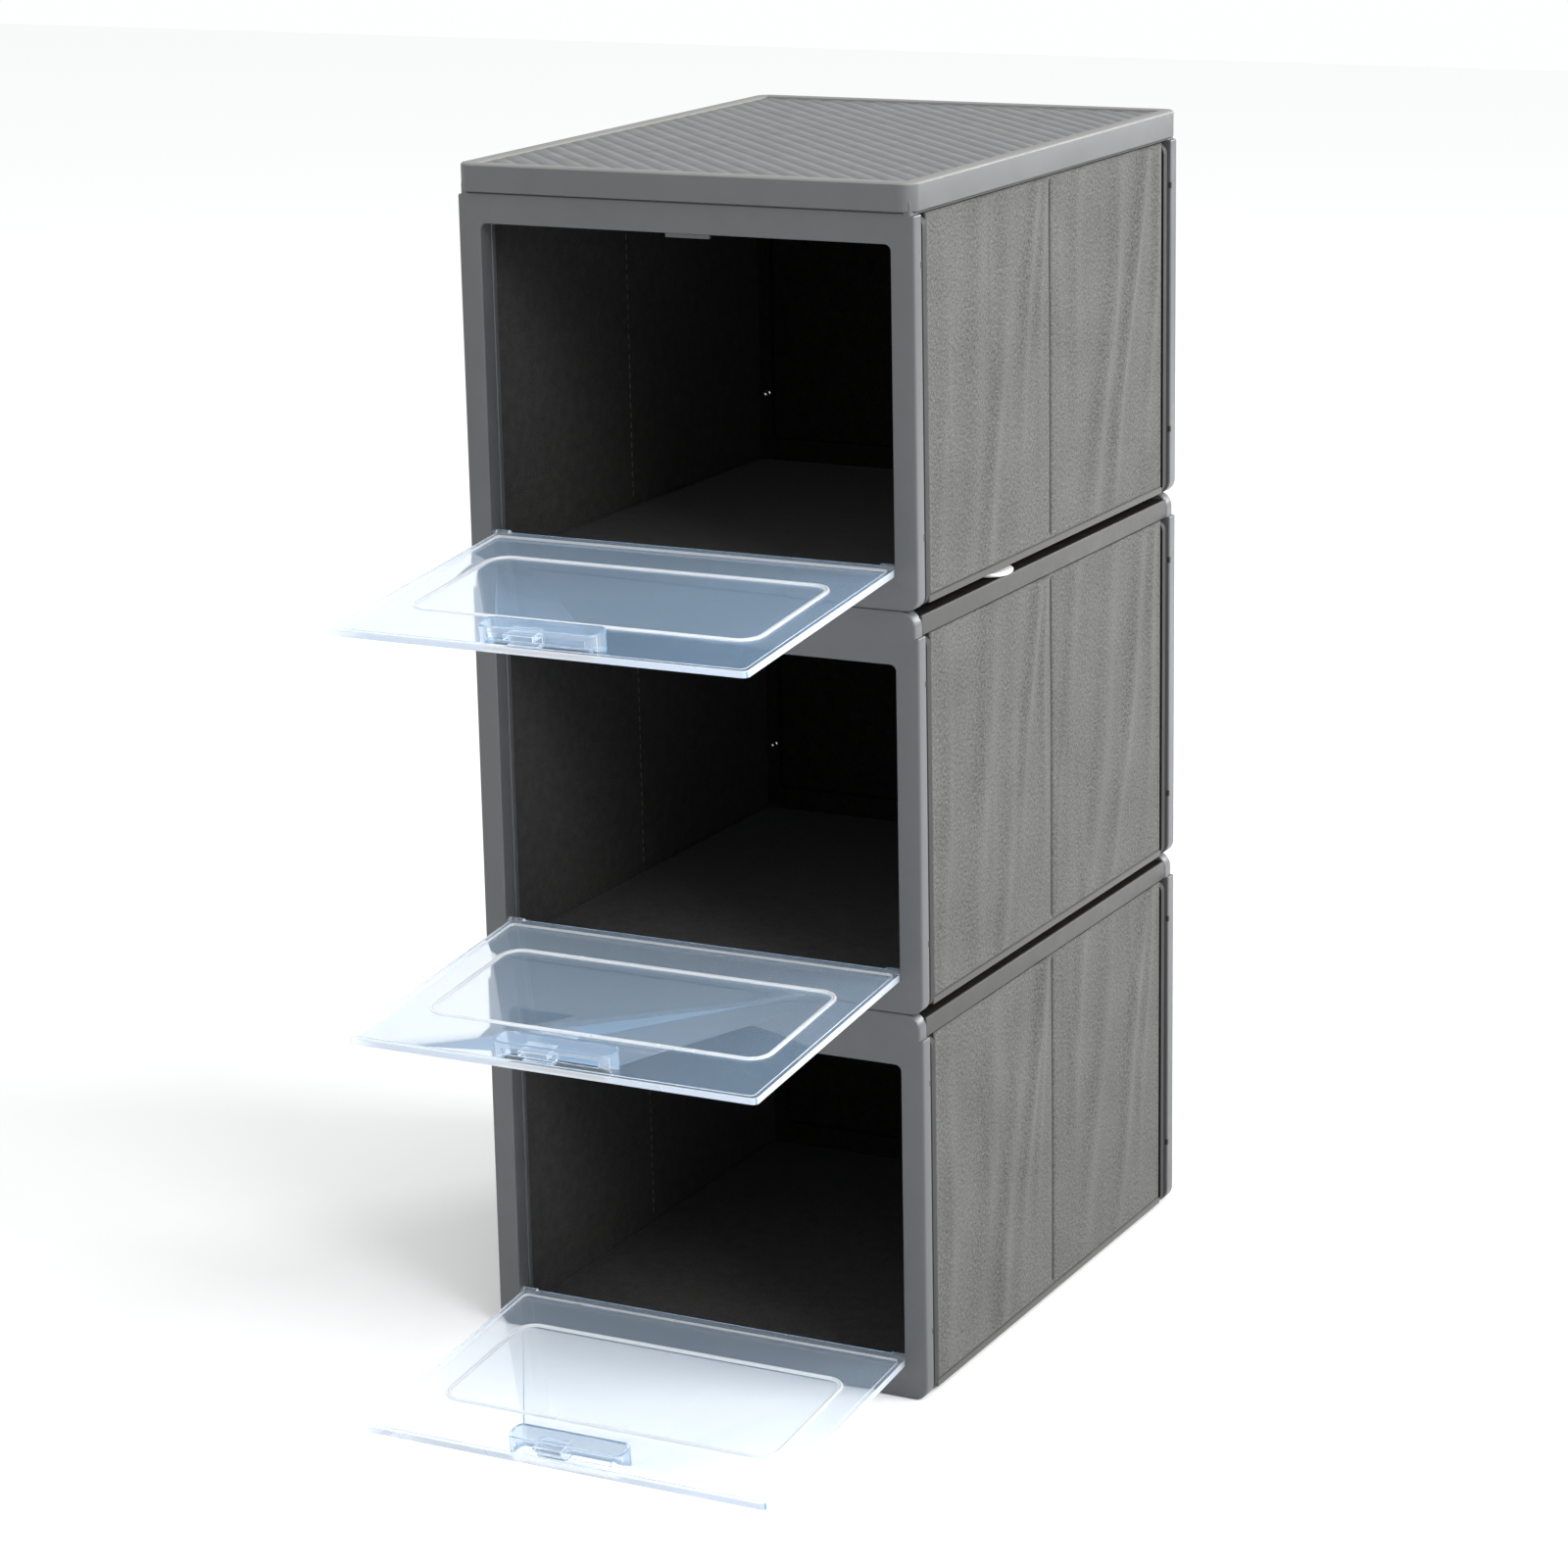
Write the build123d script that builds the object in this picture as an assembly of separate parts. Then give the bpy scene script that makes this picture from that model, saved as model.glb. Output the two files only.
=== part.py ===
from build123d import *
import os

"""Stack of three collapsible drop-front shoe boxes under one ribbed lid.

Each box (a tier) is a moulded front frame with a clear drop-front door, four stiffener boards in
fabric sleeves that make its two creased side walls, a split floor and roof, and a moulded rear
frame that clamps the back panel. Tier 1 is at the top and tier 3 stands on the floor. Millimetres,
+X right, +Y to the back, +Z up. The origin is on the floor, at the middle of the stack's footprint.
"""

# ---- overall ----
TIERS = 3
WIDTH = 245.6            # outer width of a frame
DEPTH = 318.0            # front face of the front frame to back face of the rear frame
PITCH = 200.0            # height of one tier

# ---- moulded frames ----
SIDE_RAIL = 12.3         # width of each upright of a frame
SILL = 16.0              # height of the rail under the opening
HEADER = 26.4            # height of the rail over the opening
OPENING_RADIUS = 3.2     # upper corners
OPENING_FOOT_RADIUS = 1.0
FRAME_THICKNESS = 8.0
FOOT_RADIUS = 7.0        # round of a frame's lower corners
NECK_HEIGHT = 12.5       # stepped-in top of a frame, which a lid's skirt goes round
NECK_INSET = 1.8
NECK_RADIUS = 8.0
FRAME_EDGE = 0.9         # bevel round the outside of each face that shows
COLLAR_THICKNESS = 3.2   # set-back band behind a frame, which makes the parting groove
COLLAR_INSET = 4.0
RIDGE_HEIGHT = 0.8       # locating ridge on top of a front frame
RIDGE_THICKNESS = 3.0
RIDGE_LENGTH = 160.0
RIDGE_CLEARANCE = 0.4
NOTCH_FROM_FLOOR = 35.0
NOTCH_FROM_SHOULDER = 23.5
NOTCH = (1.6, 1.4, 3.2)  # snap notch: depth into the side, size along Y, height

# ---- retainers, which clamp the fabric behind each frame ----
RETAINER_THICKNESS = 4.2
RETAINER_INSET = 1.0
RETAINER_FLOOR_GAP = 0.6
RETAINER_SET_BACK = 1.5  # how far its opening stands back from the frame's opening

# ---- side walls ----
SKIN_INSET = 1.3         # outer face of the fabric, in from the frame's side
SKIN_THICKNESS = 1.2
BOARD_THICKNESS = 2.5
BOARD_END_GAP = 0.8      # from a board's end to the retainer
CREASE_GAP = 0.3         # between the two boards of a side
WALL_CLEARANCE = 0.5     # above the floor leaves and below the roof leaves

# ---- floor and roof leaves ----
LEAF_THICKNESS = 1.6
LEAF_GAP = 0.3           # between the front leaf and the rear leaf that slides over it
LEAF_LAP = 8.0           # how far each leaf goes past the middle of the depth
FLANGE_GAP = 0.4
FLOOR_FLANGE = 4.9       # height of the floor's turned-up hem
ROOF_DROP = 3.0          # roof's top face, down from the top of the frames
LID_SIDE_CLEARANCE = 0.4

# ---- back panel ----
PANEL_THICKNESS = 2.6
PANEL_CLEARANCE = 0.3
PANEL_EDGE_CLEARANCE = 0.5

# ---- door ----
DOOR_CLEARANCE = 0.4     # between the door's sides and the opening
DOOR_HEAD_CLEARANCE = 0.7
DOOR_SET_BACK = 0.6      # outer face of the shut door, in from the frame's front face
DOOR_THICKNESS = 2.0
DOOR_RIM_WIDTH = 2.6
DOOR_RIM_HEIGHT = 1.4
DOOR_DROOP = 6.0         # degrees below level when the door is open
KNUCKLE_RADIUS = 2.6
KNUCKLE_LENGTH = 8.0
KNUCKLE_SILL_GAP = 0.6
PIVOT_RADIUS = 1.6
PIVOT_LENGTH = 2.4
PIVOT_CLEARANCE = 0.06
PIVOT_END_CLEARANCE = 0.4
PANEL_LINE_WIDTH = 2.0   # raised line that frames the middle of the door
PANEL_LINE_HEIGHT = 0.7
PANEL_LINE_RADIUS = 11.0
PANEL_LINE_SIDE = 17.0   # from the door's sides
PANEL_LINE_FOOT = 29.0   # from the hinge axis
PANEL_LINE_HEAD = 40.0   # from the door's free edge

# ---- pull pocket and latch ----
POCKET_WIDTH = 63.0
POCKET_HEIGHT = 13.5
POCKET_DEPTH = 9.8
POCKET_WALL = 1.2
POCKET_RADIUS = 4.0
SLOT_WIDTH = 52.0
SLOT_THICKNESS = 3.4
TONGUE_WIDTH = 16.0
TONGUE_OFFSET = -9.0     # the tongue is off the middle, towards -X
TONGUE_CLEARANCE = 0.3
TONGUE_TRAVEL = 2.0
PAD_THICKNESS = 1.6
PAD_HEIGHT = 6.0
PAD_SET_BACK = 0.8
KEEPER_WIDTH = 24.0
KEEPER_DROP = 3.0
KEEPER_THICKNESS = 2.0
KEEPER_SET_BACK = 6.5    # from the front face

# ---- lid ----
LID_WALL = 1.5
LID_CLEARANCE = 0.3      # between the skirt and the necks
LID_SKIRT = 11.0         # skirt's reach below the top of the frames
LID_PLATE = 1.0
LID_RIM_WIDTH = 7.5
LID_RIM_RAISE = 0.8
LID_RADIUS = 8.0

# ---- disc under the top tier's floor ----
DISC_RADIUS = 14.0
DISC_THICKNESS = 2.6
DISC_REACH = 2.0         # how far its edge stands past the fabric's outer face
DISC_Y = -55.0

# ---- worked out ----
HALF_WIDTH = WIDTH / 2
HALF_DEPTH = DEPTH / 2
FRONT_FACE = -HALF_DEPTH
FRAME_BACK = HALF_DEPTH - FRAME_THICKNESS               # inner face of a frame, as a distance from Y = 0
COLLAR_BACK = FRAME_BACK - COLLAR_THICKNESS
RETAINER_BACK = COLLAR_BACK - RETAINER_THICKNESS
SHOULDER = PITCH - NECK_HEIGHT
NECK_HALF_WIDTH = HALF_WIDTH - NECK_INSET
OPENING_WIDTH = WIDTH - 2 * SIDE_RAIL
OPENING_TOP = PITCH - HEADER
SKIN_OUTER = HALF_WIDTH - SKIN_INSET
BOARD_OUTER = SKIN_OUTER - SKIN_THICKNESS
BOARD_END = RETAINER_BACK - BOARD_END_GAP
WALL_BOTTOM = FLOOR_FLANGE + WALL_CLEARANCE
WALL_TOP = SHOULDER - 2 * WALL_CLEARANCE + CREASE_GAP
ROOF_TOP = PITCH - ROOF_DROP
ROOF_FLANGE_BOTTOM = WALL_TOP + WALL_CLEARANCE
ROOF_HALF_WIDTH = NECK_HALF_WIDTH + LID_CLEARANCE - LID_SIDE_CLEARANCE
HINGE_Y = FRONT_FACE + DOOR_SET_BACK + KNUCKLE_RADIUS
HINGE_Z = SILL + KNUCKLE_RADIUS + KNUCKLE_SILL_GAP
DOOR_HALF_WIDTH = OPENING_WIDTH / 2 - DOOR_CLEARANCE
DOOR_TOP = OPENING_TOP - DOOR_HEAD_CLEARANCE
DOOR_OUTER = FRONT_FACE + DOOR_SET_BACK
DOOR_INNER = DOOR_OUTER + DOOR_THICKNESS
DOOR_CORNER = OPENING_RADIUS - DOOR_CLEARANCE
KEEPER_BOTTOM = OPENING_TOP - KEEPER_DROP
TONGUE_TOP = KEEPER_BOTTOM - TONGUE_CLEARANCE
POCKET_TOP = TONGUE_TOP - TONGUE_CLEARANCE
SLOT_Y = FRONT_FACE + KEEPER_SET_BACK + KEEPER_THICKNESS / 2
LID_BOTTOM_OF_PLATE = TIERS * PITCH + RIDGE_HEIGHT


def block(x, y, z):
    """Box between two limits on each axis."""
    size = (x[1] - x[0], y[1] - y[0], z[1] - z[0])
    middle = (x[0] + size[0] / 2, y[0] + size[1] / 2, z[0] + size[2] / 2)
    return Pos(*middle) * Box(*size)


def upright(sketch, y, thickness):
    """Plate that stands across the box: a sketch of X and Z, from y to y + thickness."""
    return extrude(Plane.XZ.offset(-y) * sketch, amount=-thickness)


def window(bottom, top, width, radius, foot_radius=None):
    """Rounded rectangle of X and Z between two heights; its lower corners can have their own radius."""
    outline = Rectangle(width, top - bottom)
    outline = fillet(outline.vertices().group_by(Axis.Y)[-1], radius)
    outline = fillet(outline.vertices().group_by(Axis.Y)[0], foot_radius or radius)
    return Pos(0, (bottom + top) / 2) * outline


def frame_outline():
    """Outline of a frame: rounded feet, straight sides, and the stepped-in neck."""
    sides = Pos(0, SHOULDER / 2) * Rectangle(WIDTH, SHOULDER)
    sides = fillet(sides.vertices().group_by(Axis.Y)[0], FOOT_RADIUS)
    neck = Pos(0, PITCH / 2) * Rectangle(2 * NECK_HALF_WIDTH, PITCH)
    neck = fillet(neck.vertices().group_by(Axis.Y)[-1], NECK_RADIUS)
    foot_cover = Pos(0, FOOT_RADIUS + NECK_RADIUS) * Rectangle(WIDTH, 2 * (FOOT_RADIUS + NECK_RADIUS))
    return sides + (neck - foot_cover)


def frame_opening():
    """Opening of a frame."""
    return window(SILL, OPENING_TOP, OPENING_WIDTH, OPENING_RADIUS, OPENING_FOOT_RADIUS)


def frame_ring():
    """Ring of a frame at the front of the box, with its collar and snap notches."""
    ring = upright(frame_outline() - frame_opening(), FRONT_FACE, FRAME_THICKNESS)
    face = ring.faces().sort_by(Axis.Y)[0]
    ring = chamfer(face.edges(), FRAME_EDGE)
    collar_outline = window(COLLAR_INSET, SHOULDER - COLLAR_INSET, WIDTH - 2 * COLLAR_INSET, FOOT_RADIUS)
    ring += upright(collar_outline - frame_opening(), -FRAME_BACK, COLLAR_THICKNESS)
    deep, along, high = NOTCH
    for side in (-1, 1):
        outer = side * HALF_WIDTH
        across = sorted((outer, outer - side * deep))
        for height in (NOTCH_FROM_FLOOR, SHOULDER - NOTCH_FROM_SHOULDER):
            ring -= block(across, (-FRAME_BACK - along, -FRAME_BACK), (height, height + high))
    return ring


def front_frame():
    """Front frame with its keeper, its pivot holes, and the ridge and groove that locate the stack."""
    frame = frame_ring()
    keeper_y = FRONT_FACE + KEEPER_SET_BACK
    keeper_x = (-KEEPER_WIDTH / 2, KEEPER_WIDTH / 2)
    frame += block(keeper_x, (keeper_y, keeper_y + KEEPER_THICKNESS), (KEEPER_BOTTOM, PITCH - HEADER / 2))
    hole_length = PIVOT_LENGTH - DOOR_CLEARANCE + PIVOT_END_CLEARANCE
    for side in (-1, 1):
        middle = side * (OPENING_WIDTH + hole_length) / 2
        hole = Cylinder(PIVOT_RADIUS + PIVOT_CLEARANCE, hole_length, rotation=(0, 90, 0))
        frame -= Pos(middle, HINGE_Y, HINGE_Z) * hole
    ridge_y = FRONT_FACE + FRAME_THICKNESS / 2
    ridge_x = RIDGE_LENGTH / 2
    ridge_half = RIDGE_THICKNESS / 2
    frame += block((-ridge_x, ridge_x), (ridge_y - ridge_half, ridge_y + ridge_half),
                   (PITCH, PITCH + RIDGE_HEIGHT))
    groove_x = ridge_x + RIDGE_CLEARANCE
    groove_half = ridge_half + RIDGE_CLEARANCE
    frame -= block((-groove_x, groove_x), (ridge_y - groove_half, ridge_y + groove_half),
                   (0, RIDGE_HEIGHT + RIDGE_CLEARANCE))
    return frame


def rear_frame():
    """Rear frame: the front frame's ring turned to face the back, with a pocket for the back panel."""
    ring = mirror(frame_ring(), about=Plane.XZ)
    pocket_inset = COLLAR_INSET + RETAINER_SET_BACK
    pocket = window(pocket_inset, SHOULDER - pocket_inset, WIDTH - 2 * pocket_inset, FOOT_RADIUS)
    return ring - upright(pocket, COLLAR_BACK, COLLAR_THICKNESS)


def retainer():
    """Flat ring behind the front frame that clamps the ends of the fabric."""
    outline = window(RETAINER_FLOOR_GAP, WALL_TOP, WIDTH - 2 * RETAINER_INSET, FOOT_RADIUS - RETAINER_INSET)
    hole = window(SILL - RETAINER_SET_BACK, OPENING_TOP + RETAINER_SET_BACK,
                  OPENING_WIDTH + 2 * RETAINER_SET_BACK, OPENING_RADIUS + RETAINER_SET_BACK)
    return upright(outline - hole, -COLLAR_BACK, RETAINER_THICKNESS)


def back_panel():
    """Fabric-covered board that closes the back, held between the rear frame and its retainer."""
    inset = COLLAR_INSET + RETAINER_SET_BACK + PANEL_EDGE_CLEARANCE
    outline = window(inset, SHOULDER - inset, WIDTH - 2 * inset, FOOT_RADIUS)
    return upright(outline, FRAME_BACK - PANEL_THICKNESS - PANEL_CLEARANCE, PANEL_THICKNESS)


def side_slab(inner, outer):
    """Half of a right side wall, in front of the crease, between two distances from the middle."""
    return block((inner, outer), (-BOARD_END, -CREASE_GAP / 2), (WALL_BOTTOM, WALL_TOP))


def leaf_tray(half_width, plate, flange, front, back):
    """Leaf of the floor or roof: a plate with a flange along each side, as limits on Z."""
    tray = block((-half_width, half_width), (front, back), plate)
    for side in (-1, 1):
        across = sorted((side * half_width, side * (half_width - LEAF_THICKNESS)))
        tray += block(across, (front, back), flange)
    return tray


def floor_leaves():
    """Front and rear leaves of the floor; the rear one lies inside and over the front one."""
    nested = SKIN_OUTER - LEAF_THICKNESS - FLANGE_GAP
    raised = LEAF_THICKNESS + LEAF_GAP
    front = leaf_tray(SKIN_OUTER, (0, LEAF_THICKNESS), (0, FLOOR_FLANGE), -RETAINER_BACK, LEAF_LAP)
    rear = leaf_tray(nested, (raised, raised + LEAF_THICKNESS), (raised, FLOOR_FLANGE),
                     -LEAF_LAP, RETAINER_BACK)
    return front, rear


def roof_leaves():
    """Front and rear leaves of the roof; the rear one lies inside and under the front one."""
    nested = ROOF_HALF_WIDTH - LEAF_THICKNESS - FLANGE_GAP
    lowered = ROOF_TOP - LEAF_THICKNESS - LEAF_GAP
    front = leaf_tray(ROOF_HALF_WIDTH, (ROOF_TOP - LEAF_THICKNESS, ROOF_TOP),
                      (ROOF_FLANGE_BOTTOM, ROOF_TOP), -FRAME_BACK, LEAF_LAP)
    rear = leaf_tray(nested, (lowered - LEAF_THICKNESS, lowered),
                     (ROOF_FLANGE_BOTTOM, lowered), -LEAF_LAP, FRAME_BACK)
    return front, rear


def opened(shape):
    """Turn a shape of the shut door about the hinge axis to where the open door rests."""
    axis = Axis((0, HINGE_Y, HINGE_Z), (1, 0, 0))
    return shape.rotate(axis, 90 + DOOR_DROOP)


def door():
    """Clear door, shut: plate, rim, round heel, raised line, pull pocket, hinge knuckles and pivots."""
    width = 2 * DOOR_HALF_WIDTH
    outline = window(HINGE_Z, DOOR_TOP, width, DOOR_CORNER, OPENING_FOOT_RADIUS)
    panel = upright(outline, DOOR_OUTER, DOOR_THICKNESS)
    rim_hole = window(HINGE_Z + DOOR_RIM_WIDTH, DOOR_TOP - DOOR_RIM_WIDTH, width - 2 * DOOR_RIM_WIDTH,
                      DOOR_CORNER)
    panel += upright(outline - rim_hole, DOOR_INNER, DOOR_RIM_HEIGHT)
    heel = Pos(0, HINGE_Y, HINGE_Z) * Cylinder(KNUCKLE_RADIUS, width, rotation=(0, 90, 0))
    panel += heel & block((-DOOR_HALF_WIDTH, DOOR_HALF_WIDTH), (DOOR_OUTER, DOOR_INNER + DOOR_RIM_HEIGHT),
                          (HINGE_Z - KNUCKLE_RADIUS, HINGE_Z))
    line_bottom = HINGE_Z + PANEL_LINE_FOOT
    line_top = DOOR_TOP - PANEL_LINE_HEAD
    line_width = width - 2 * PANEL_LINE_SIDE
    line = window(line_bottom, line_top, line_width, PANEL_LINE_RADIUS)
    line -= window(line_bottom + PANEL_LINE_WIDTH, line_top - PANEL_LINE_WIDTH,
                   line_width - 2 * PANEL_LINE_WIDTH, PANEL_LINE_RADIUS - PANEL_LINE_WIDTH)
    panel += upright(line, DOOR_INNER, PANEL_LINE_HEIGHT)
    pocket_bottom = POCKET_TOP - POCKET_HEIGHT
    panel += upright(window(pocket_bottom, POCKET_TOP, POCKET_WIDTH, POCKET_RADIUS), DOOR_INNER, POCKET_DEPTH)
    hollow = window(pocket_bottom + POCKET_WALL, POCKET_TOP - POCKET_WALL, POCKET_WIDTH - 2 * POCKET_WALL,
                    POCKET_RADIUS - POCKET_WALL)
    panel -= upright(hollow, DOOR_OUTER, DOOR_THICKNESS + POCKET_DEPTH - POCKET_WALL)
    slot_half = SLOT_THICKNESS / 2
    panel -= block((-SLOT_WIDTH / 2, SLOT_WIDTH / 2), (SLOT_Y - slot_half, SLOT_Y + slot_half),
                   (POCKET_TOP - 2 * POCKET_WALL, POCKET_TOP))
    for side in (-1, 1):
        knuckle = Cylinder(KNUCKLE_RADIUS, KNUCKLE_LENGTH, rotation=(0, 90, 0))
        pivot = Cylinder(PIVOT_RADIUS, PIVOT_LENGTH, rotation=(0, 90, 0))
        panel += Pos(side * (DOOR_HALF_WIDTH - KNUCKLE_LENGTH / 2), HINGE_Y, HINGE_Z) * knuckle
        panel += Pos(side * (DOOR_HALF_WIDTH + PIVOT_LENGTH / 2), HINGE_Y, HINGE_Z) * pivot
    return panel


def latch_tongue():
    """Sprung tongue, door shut: blade through the pocket's slot, web and thumb pad."""
    half = TONGUE_WIDTH / 2
    across = (TONGUE_OFFSET - half, TONGUE_OFFSET + half)
    blade_half = SLOT_THICKNESS / 2 - TONGUE_CLEARANCE
    bottom = POCKET_TOP - POCKET_HEIGHT + POCKET_WALL + TONGUE_TRAVEL + TONGUE_CLEARANCE
    pad_front = DOOR_OUTER + PAD_SET_BACK
    blade = block(across, (SLOT_Y - blade_half, SLOT_Y + blade_half), (bottom, TONGUE_TOP))
    web = block(across, (pad_front, SLOT_Y), (bottom, bottom + PAD_THICKNESS))
    pad = block(across, (pad_front, pad_front + PAD_THICKNESS), (bottom, bottom + PAD_HEIGHT))
    return blade + web + pad


def lid():
    """Lid: top plate with a raised rim, and a skirt round the necks of the top tier."""
    half_x = NECK_HALF_WIDTH + LID_CLEARANCE + LID_WALL
    half_y = HALF_DEPTH + LID_CLEARANCE + LID_WALL
    bottom = TIERS * PITCH - LID_SKIRT
    plate_top = LID_BOTTOM_OF_PLATE + LID_PLATE
    rim_top = plate_top + LID_RIM_RAISE
    outline = RectangleRounded(2 * half_x, 2 * half_y, LID_RADIUS)
    hollow = RectangleRounded(2 * (half_x - LID_WALL), 2 * (half_y - LID_WALL), LID_WALL)
    field = RectangleRounded(2 * (half_x - LID_RIM_WIDTH), 2 * (half_y - LID_RIM_WIDTH), LID_WALL)
    shell = Pos(0, 0, bottom) * extrude(outline, rim_top - bottom)
    shell = chamfer(shell.faces().sort_by(Axis.Z)[-1].edges(), LID_RIM_RAISE / 2)
    shell -= Pos(0, 0, bottom) * extrude(hollow, LID_BOTTOM_OF_PLATE - bottom)
    return shell - Pos(0, 0, plate_top) * extrude(field, LID_RIM_RAISE)


def floor_disc():
    """White nylon disc under the top tier's floor, which shows as a crescent at its side."""
    x = SKIN_OUTER + DISC_REACH - DISC_RADIUS
    z = (TIERS - 1) * PITCH - DISC_THICKNESS / 2
    return Pos(x, DISC_Y, z) * Cylinder(DISC_RADIUS, DISC_THICKNESS)


def save(shape, name, lift=0.0):
    """Write one node's STEP file, raised by lift."""
    export_step(Pos(0, 0, lift) * shape, f"parts/{name}.step")


def tier_shapes():
    """Shapes of one tier standing on the floor, by the piece's name."""
    board = side_slab(BOARD_OUTER - BOARD_THICKNESS, BOARD_OUTER)
    skin = side_slab(BOARD_OUTER, SKIN_OUTER)
    floor_front, floor_rear = floor_leaves()
    roof_front, roof_rear = roof_leaves()
    shapes = {
        "front_frame": front_frame(),
        "front_retainer": retainer(),
        "door": opened(door()),
        "latch_tongue": opened(latch_tongue()),
        "floor_front_leaf": floor_front,
        "floor_rear_leaf": floor_rear,
        "roof_front_leaf": roof_front,
        "roof_rear_leaf": roof_rear,
        "rear_frame": rear_frame(),
        "rear_retainer": mirror(retainer(), about=Plane.XZ),
        "back_panel": back_panel(),
    }
    for kind, wall in (("board", board), ("skin", skin)):
        for side, right_or_left in (("right", wall), ("left", mirror(wall, about=Plane.YZ))):
            shapes[f"{side}_front_{kind}"] = right_or_left
            shapes[f"{side}_rear_{kind}"] = mirror(right_or_left, about=Plane.XZ)
    return shapes


os.makedirs("parts", exist_ok=True)
for piece, shape in tier_shapes().items():
    for tier in range(1, TIERS + 1):
        save(shape, f"tier_{tier}_{piece}", (TIERS - tier) * PITCH)
save(lid(), "lid")
save(floor_disc(), "tier_1_floor_disc")
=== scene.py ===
"""Looks of a stack of three collapsible drop-front shoe boxes under one ribbed lid.

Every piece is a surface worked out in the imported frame's own metres, +X right, +Y to the back,
+Z up. Tier 1 is the top box and tier 3 stands on the floor.
"""

import logging
import math
from dataclasses import dataclass
from enum import Enum
from typing import Callable, ClassVar

import bmesh
import bpy
import numpy as np
from mathutils import Matrix, Vector


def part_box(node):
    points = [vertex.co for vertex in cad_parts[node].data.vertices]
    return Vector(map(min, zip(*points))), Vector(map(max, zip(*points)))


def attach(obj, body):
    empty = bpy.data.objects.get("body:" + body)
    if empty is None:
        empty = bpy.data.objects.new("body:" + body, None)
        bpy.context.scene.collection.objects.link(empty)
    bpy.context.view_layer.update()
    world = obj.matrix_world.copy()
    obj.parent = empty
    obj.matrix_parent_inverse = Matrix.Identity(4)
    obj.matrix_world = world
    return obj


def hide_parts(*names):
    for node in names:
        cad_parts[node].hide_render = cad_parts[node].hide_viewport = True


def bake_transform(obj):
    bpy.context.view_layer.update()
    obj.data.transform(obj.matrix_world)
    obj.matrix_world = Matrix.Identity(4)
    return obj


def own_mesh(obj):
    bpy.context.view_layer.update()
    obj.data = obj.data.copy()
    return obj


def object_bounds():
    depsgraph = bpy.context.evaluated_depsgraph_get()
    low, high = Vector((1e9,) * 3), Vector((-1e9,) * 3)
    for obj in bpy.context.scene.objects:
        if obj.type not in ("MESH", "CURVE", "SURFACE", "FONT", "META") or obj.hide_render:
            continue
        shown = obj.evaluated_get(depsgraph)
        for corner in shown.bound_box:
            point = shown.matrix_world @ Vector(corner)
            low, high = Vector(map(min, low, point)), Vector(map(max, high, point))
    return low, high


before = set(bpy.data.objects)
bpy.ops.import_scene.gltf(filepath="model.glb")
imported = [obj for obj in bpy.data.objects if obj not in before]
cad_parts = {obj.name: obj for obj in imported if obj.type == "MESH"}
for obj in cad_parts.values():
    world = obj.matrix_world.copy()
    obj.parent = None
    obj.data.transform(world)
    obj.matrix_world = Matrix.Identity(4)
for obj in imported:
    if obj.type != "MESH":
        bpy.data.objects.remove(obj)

log = logging.getLogger("shoe_boxes")

MM = 0.001
TIERS = (1, 2, 3)
CAD_LOW, CAD_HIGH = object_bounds()
SMOOTH_ANGLE = math.radians(32)  # sharper edges of a surface stay sharp
WELD = 0.002 * MM  # points nearer than this are merged


class Side(Enum):
    """Which side wall of a box, as the sign of its X."""

    LEFT = -1
    RIGHT = 1

    @property
    def word(self) -> str:
        """The side as it stands in names."""
        return self.name.lower()

    def span(self, inner: float, outer: float) -> tuple[float, float]:
        """Lowest and highest X between two distances out from the middle on this side."""
        ends = sorted((self.value * inner, self.value * outer))
        return ends[0], ends[1]


class End(Enum):
    """Which end of a box, as the sign of its Y."""

    FRONT = -1
    REAR = 1

    @property
    def word(self) -> str:
        """The end as it stands in names."""
        return self.name.lower()


# ---------------------------------------------------------------- node trees


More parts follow.
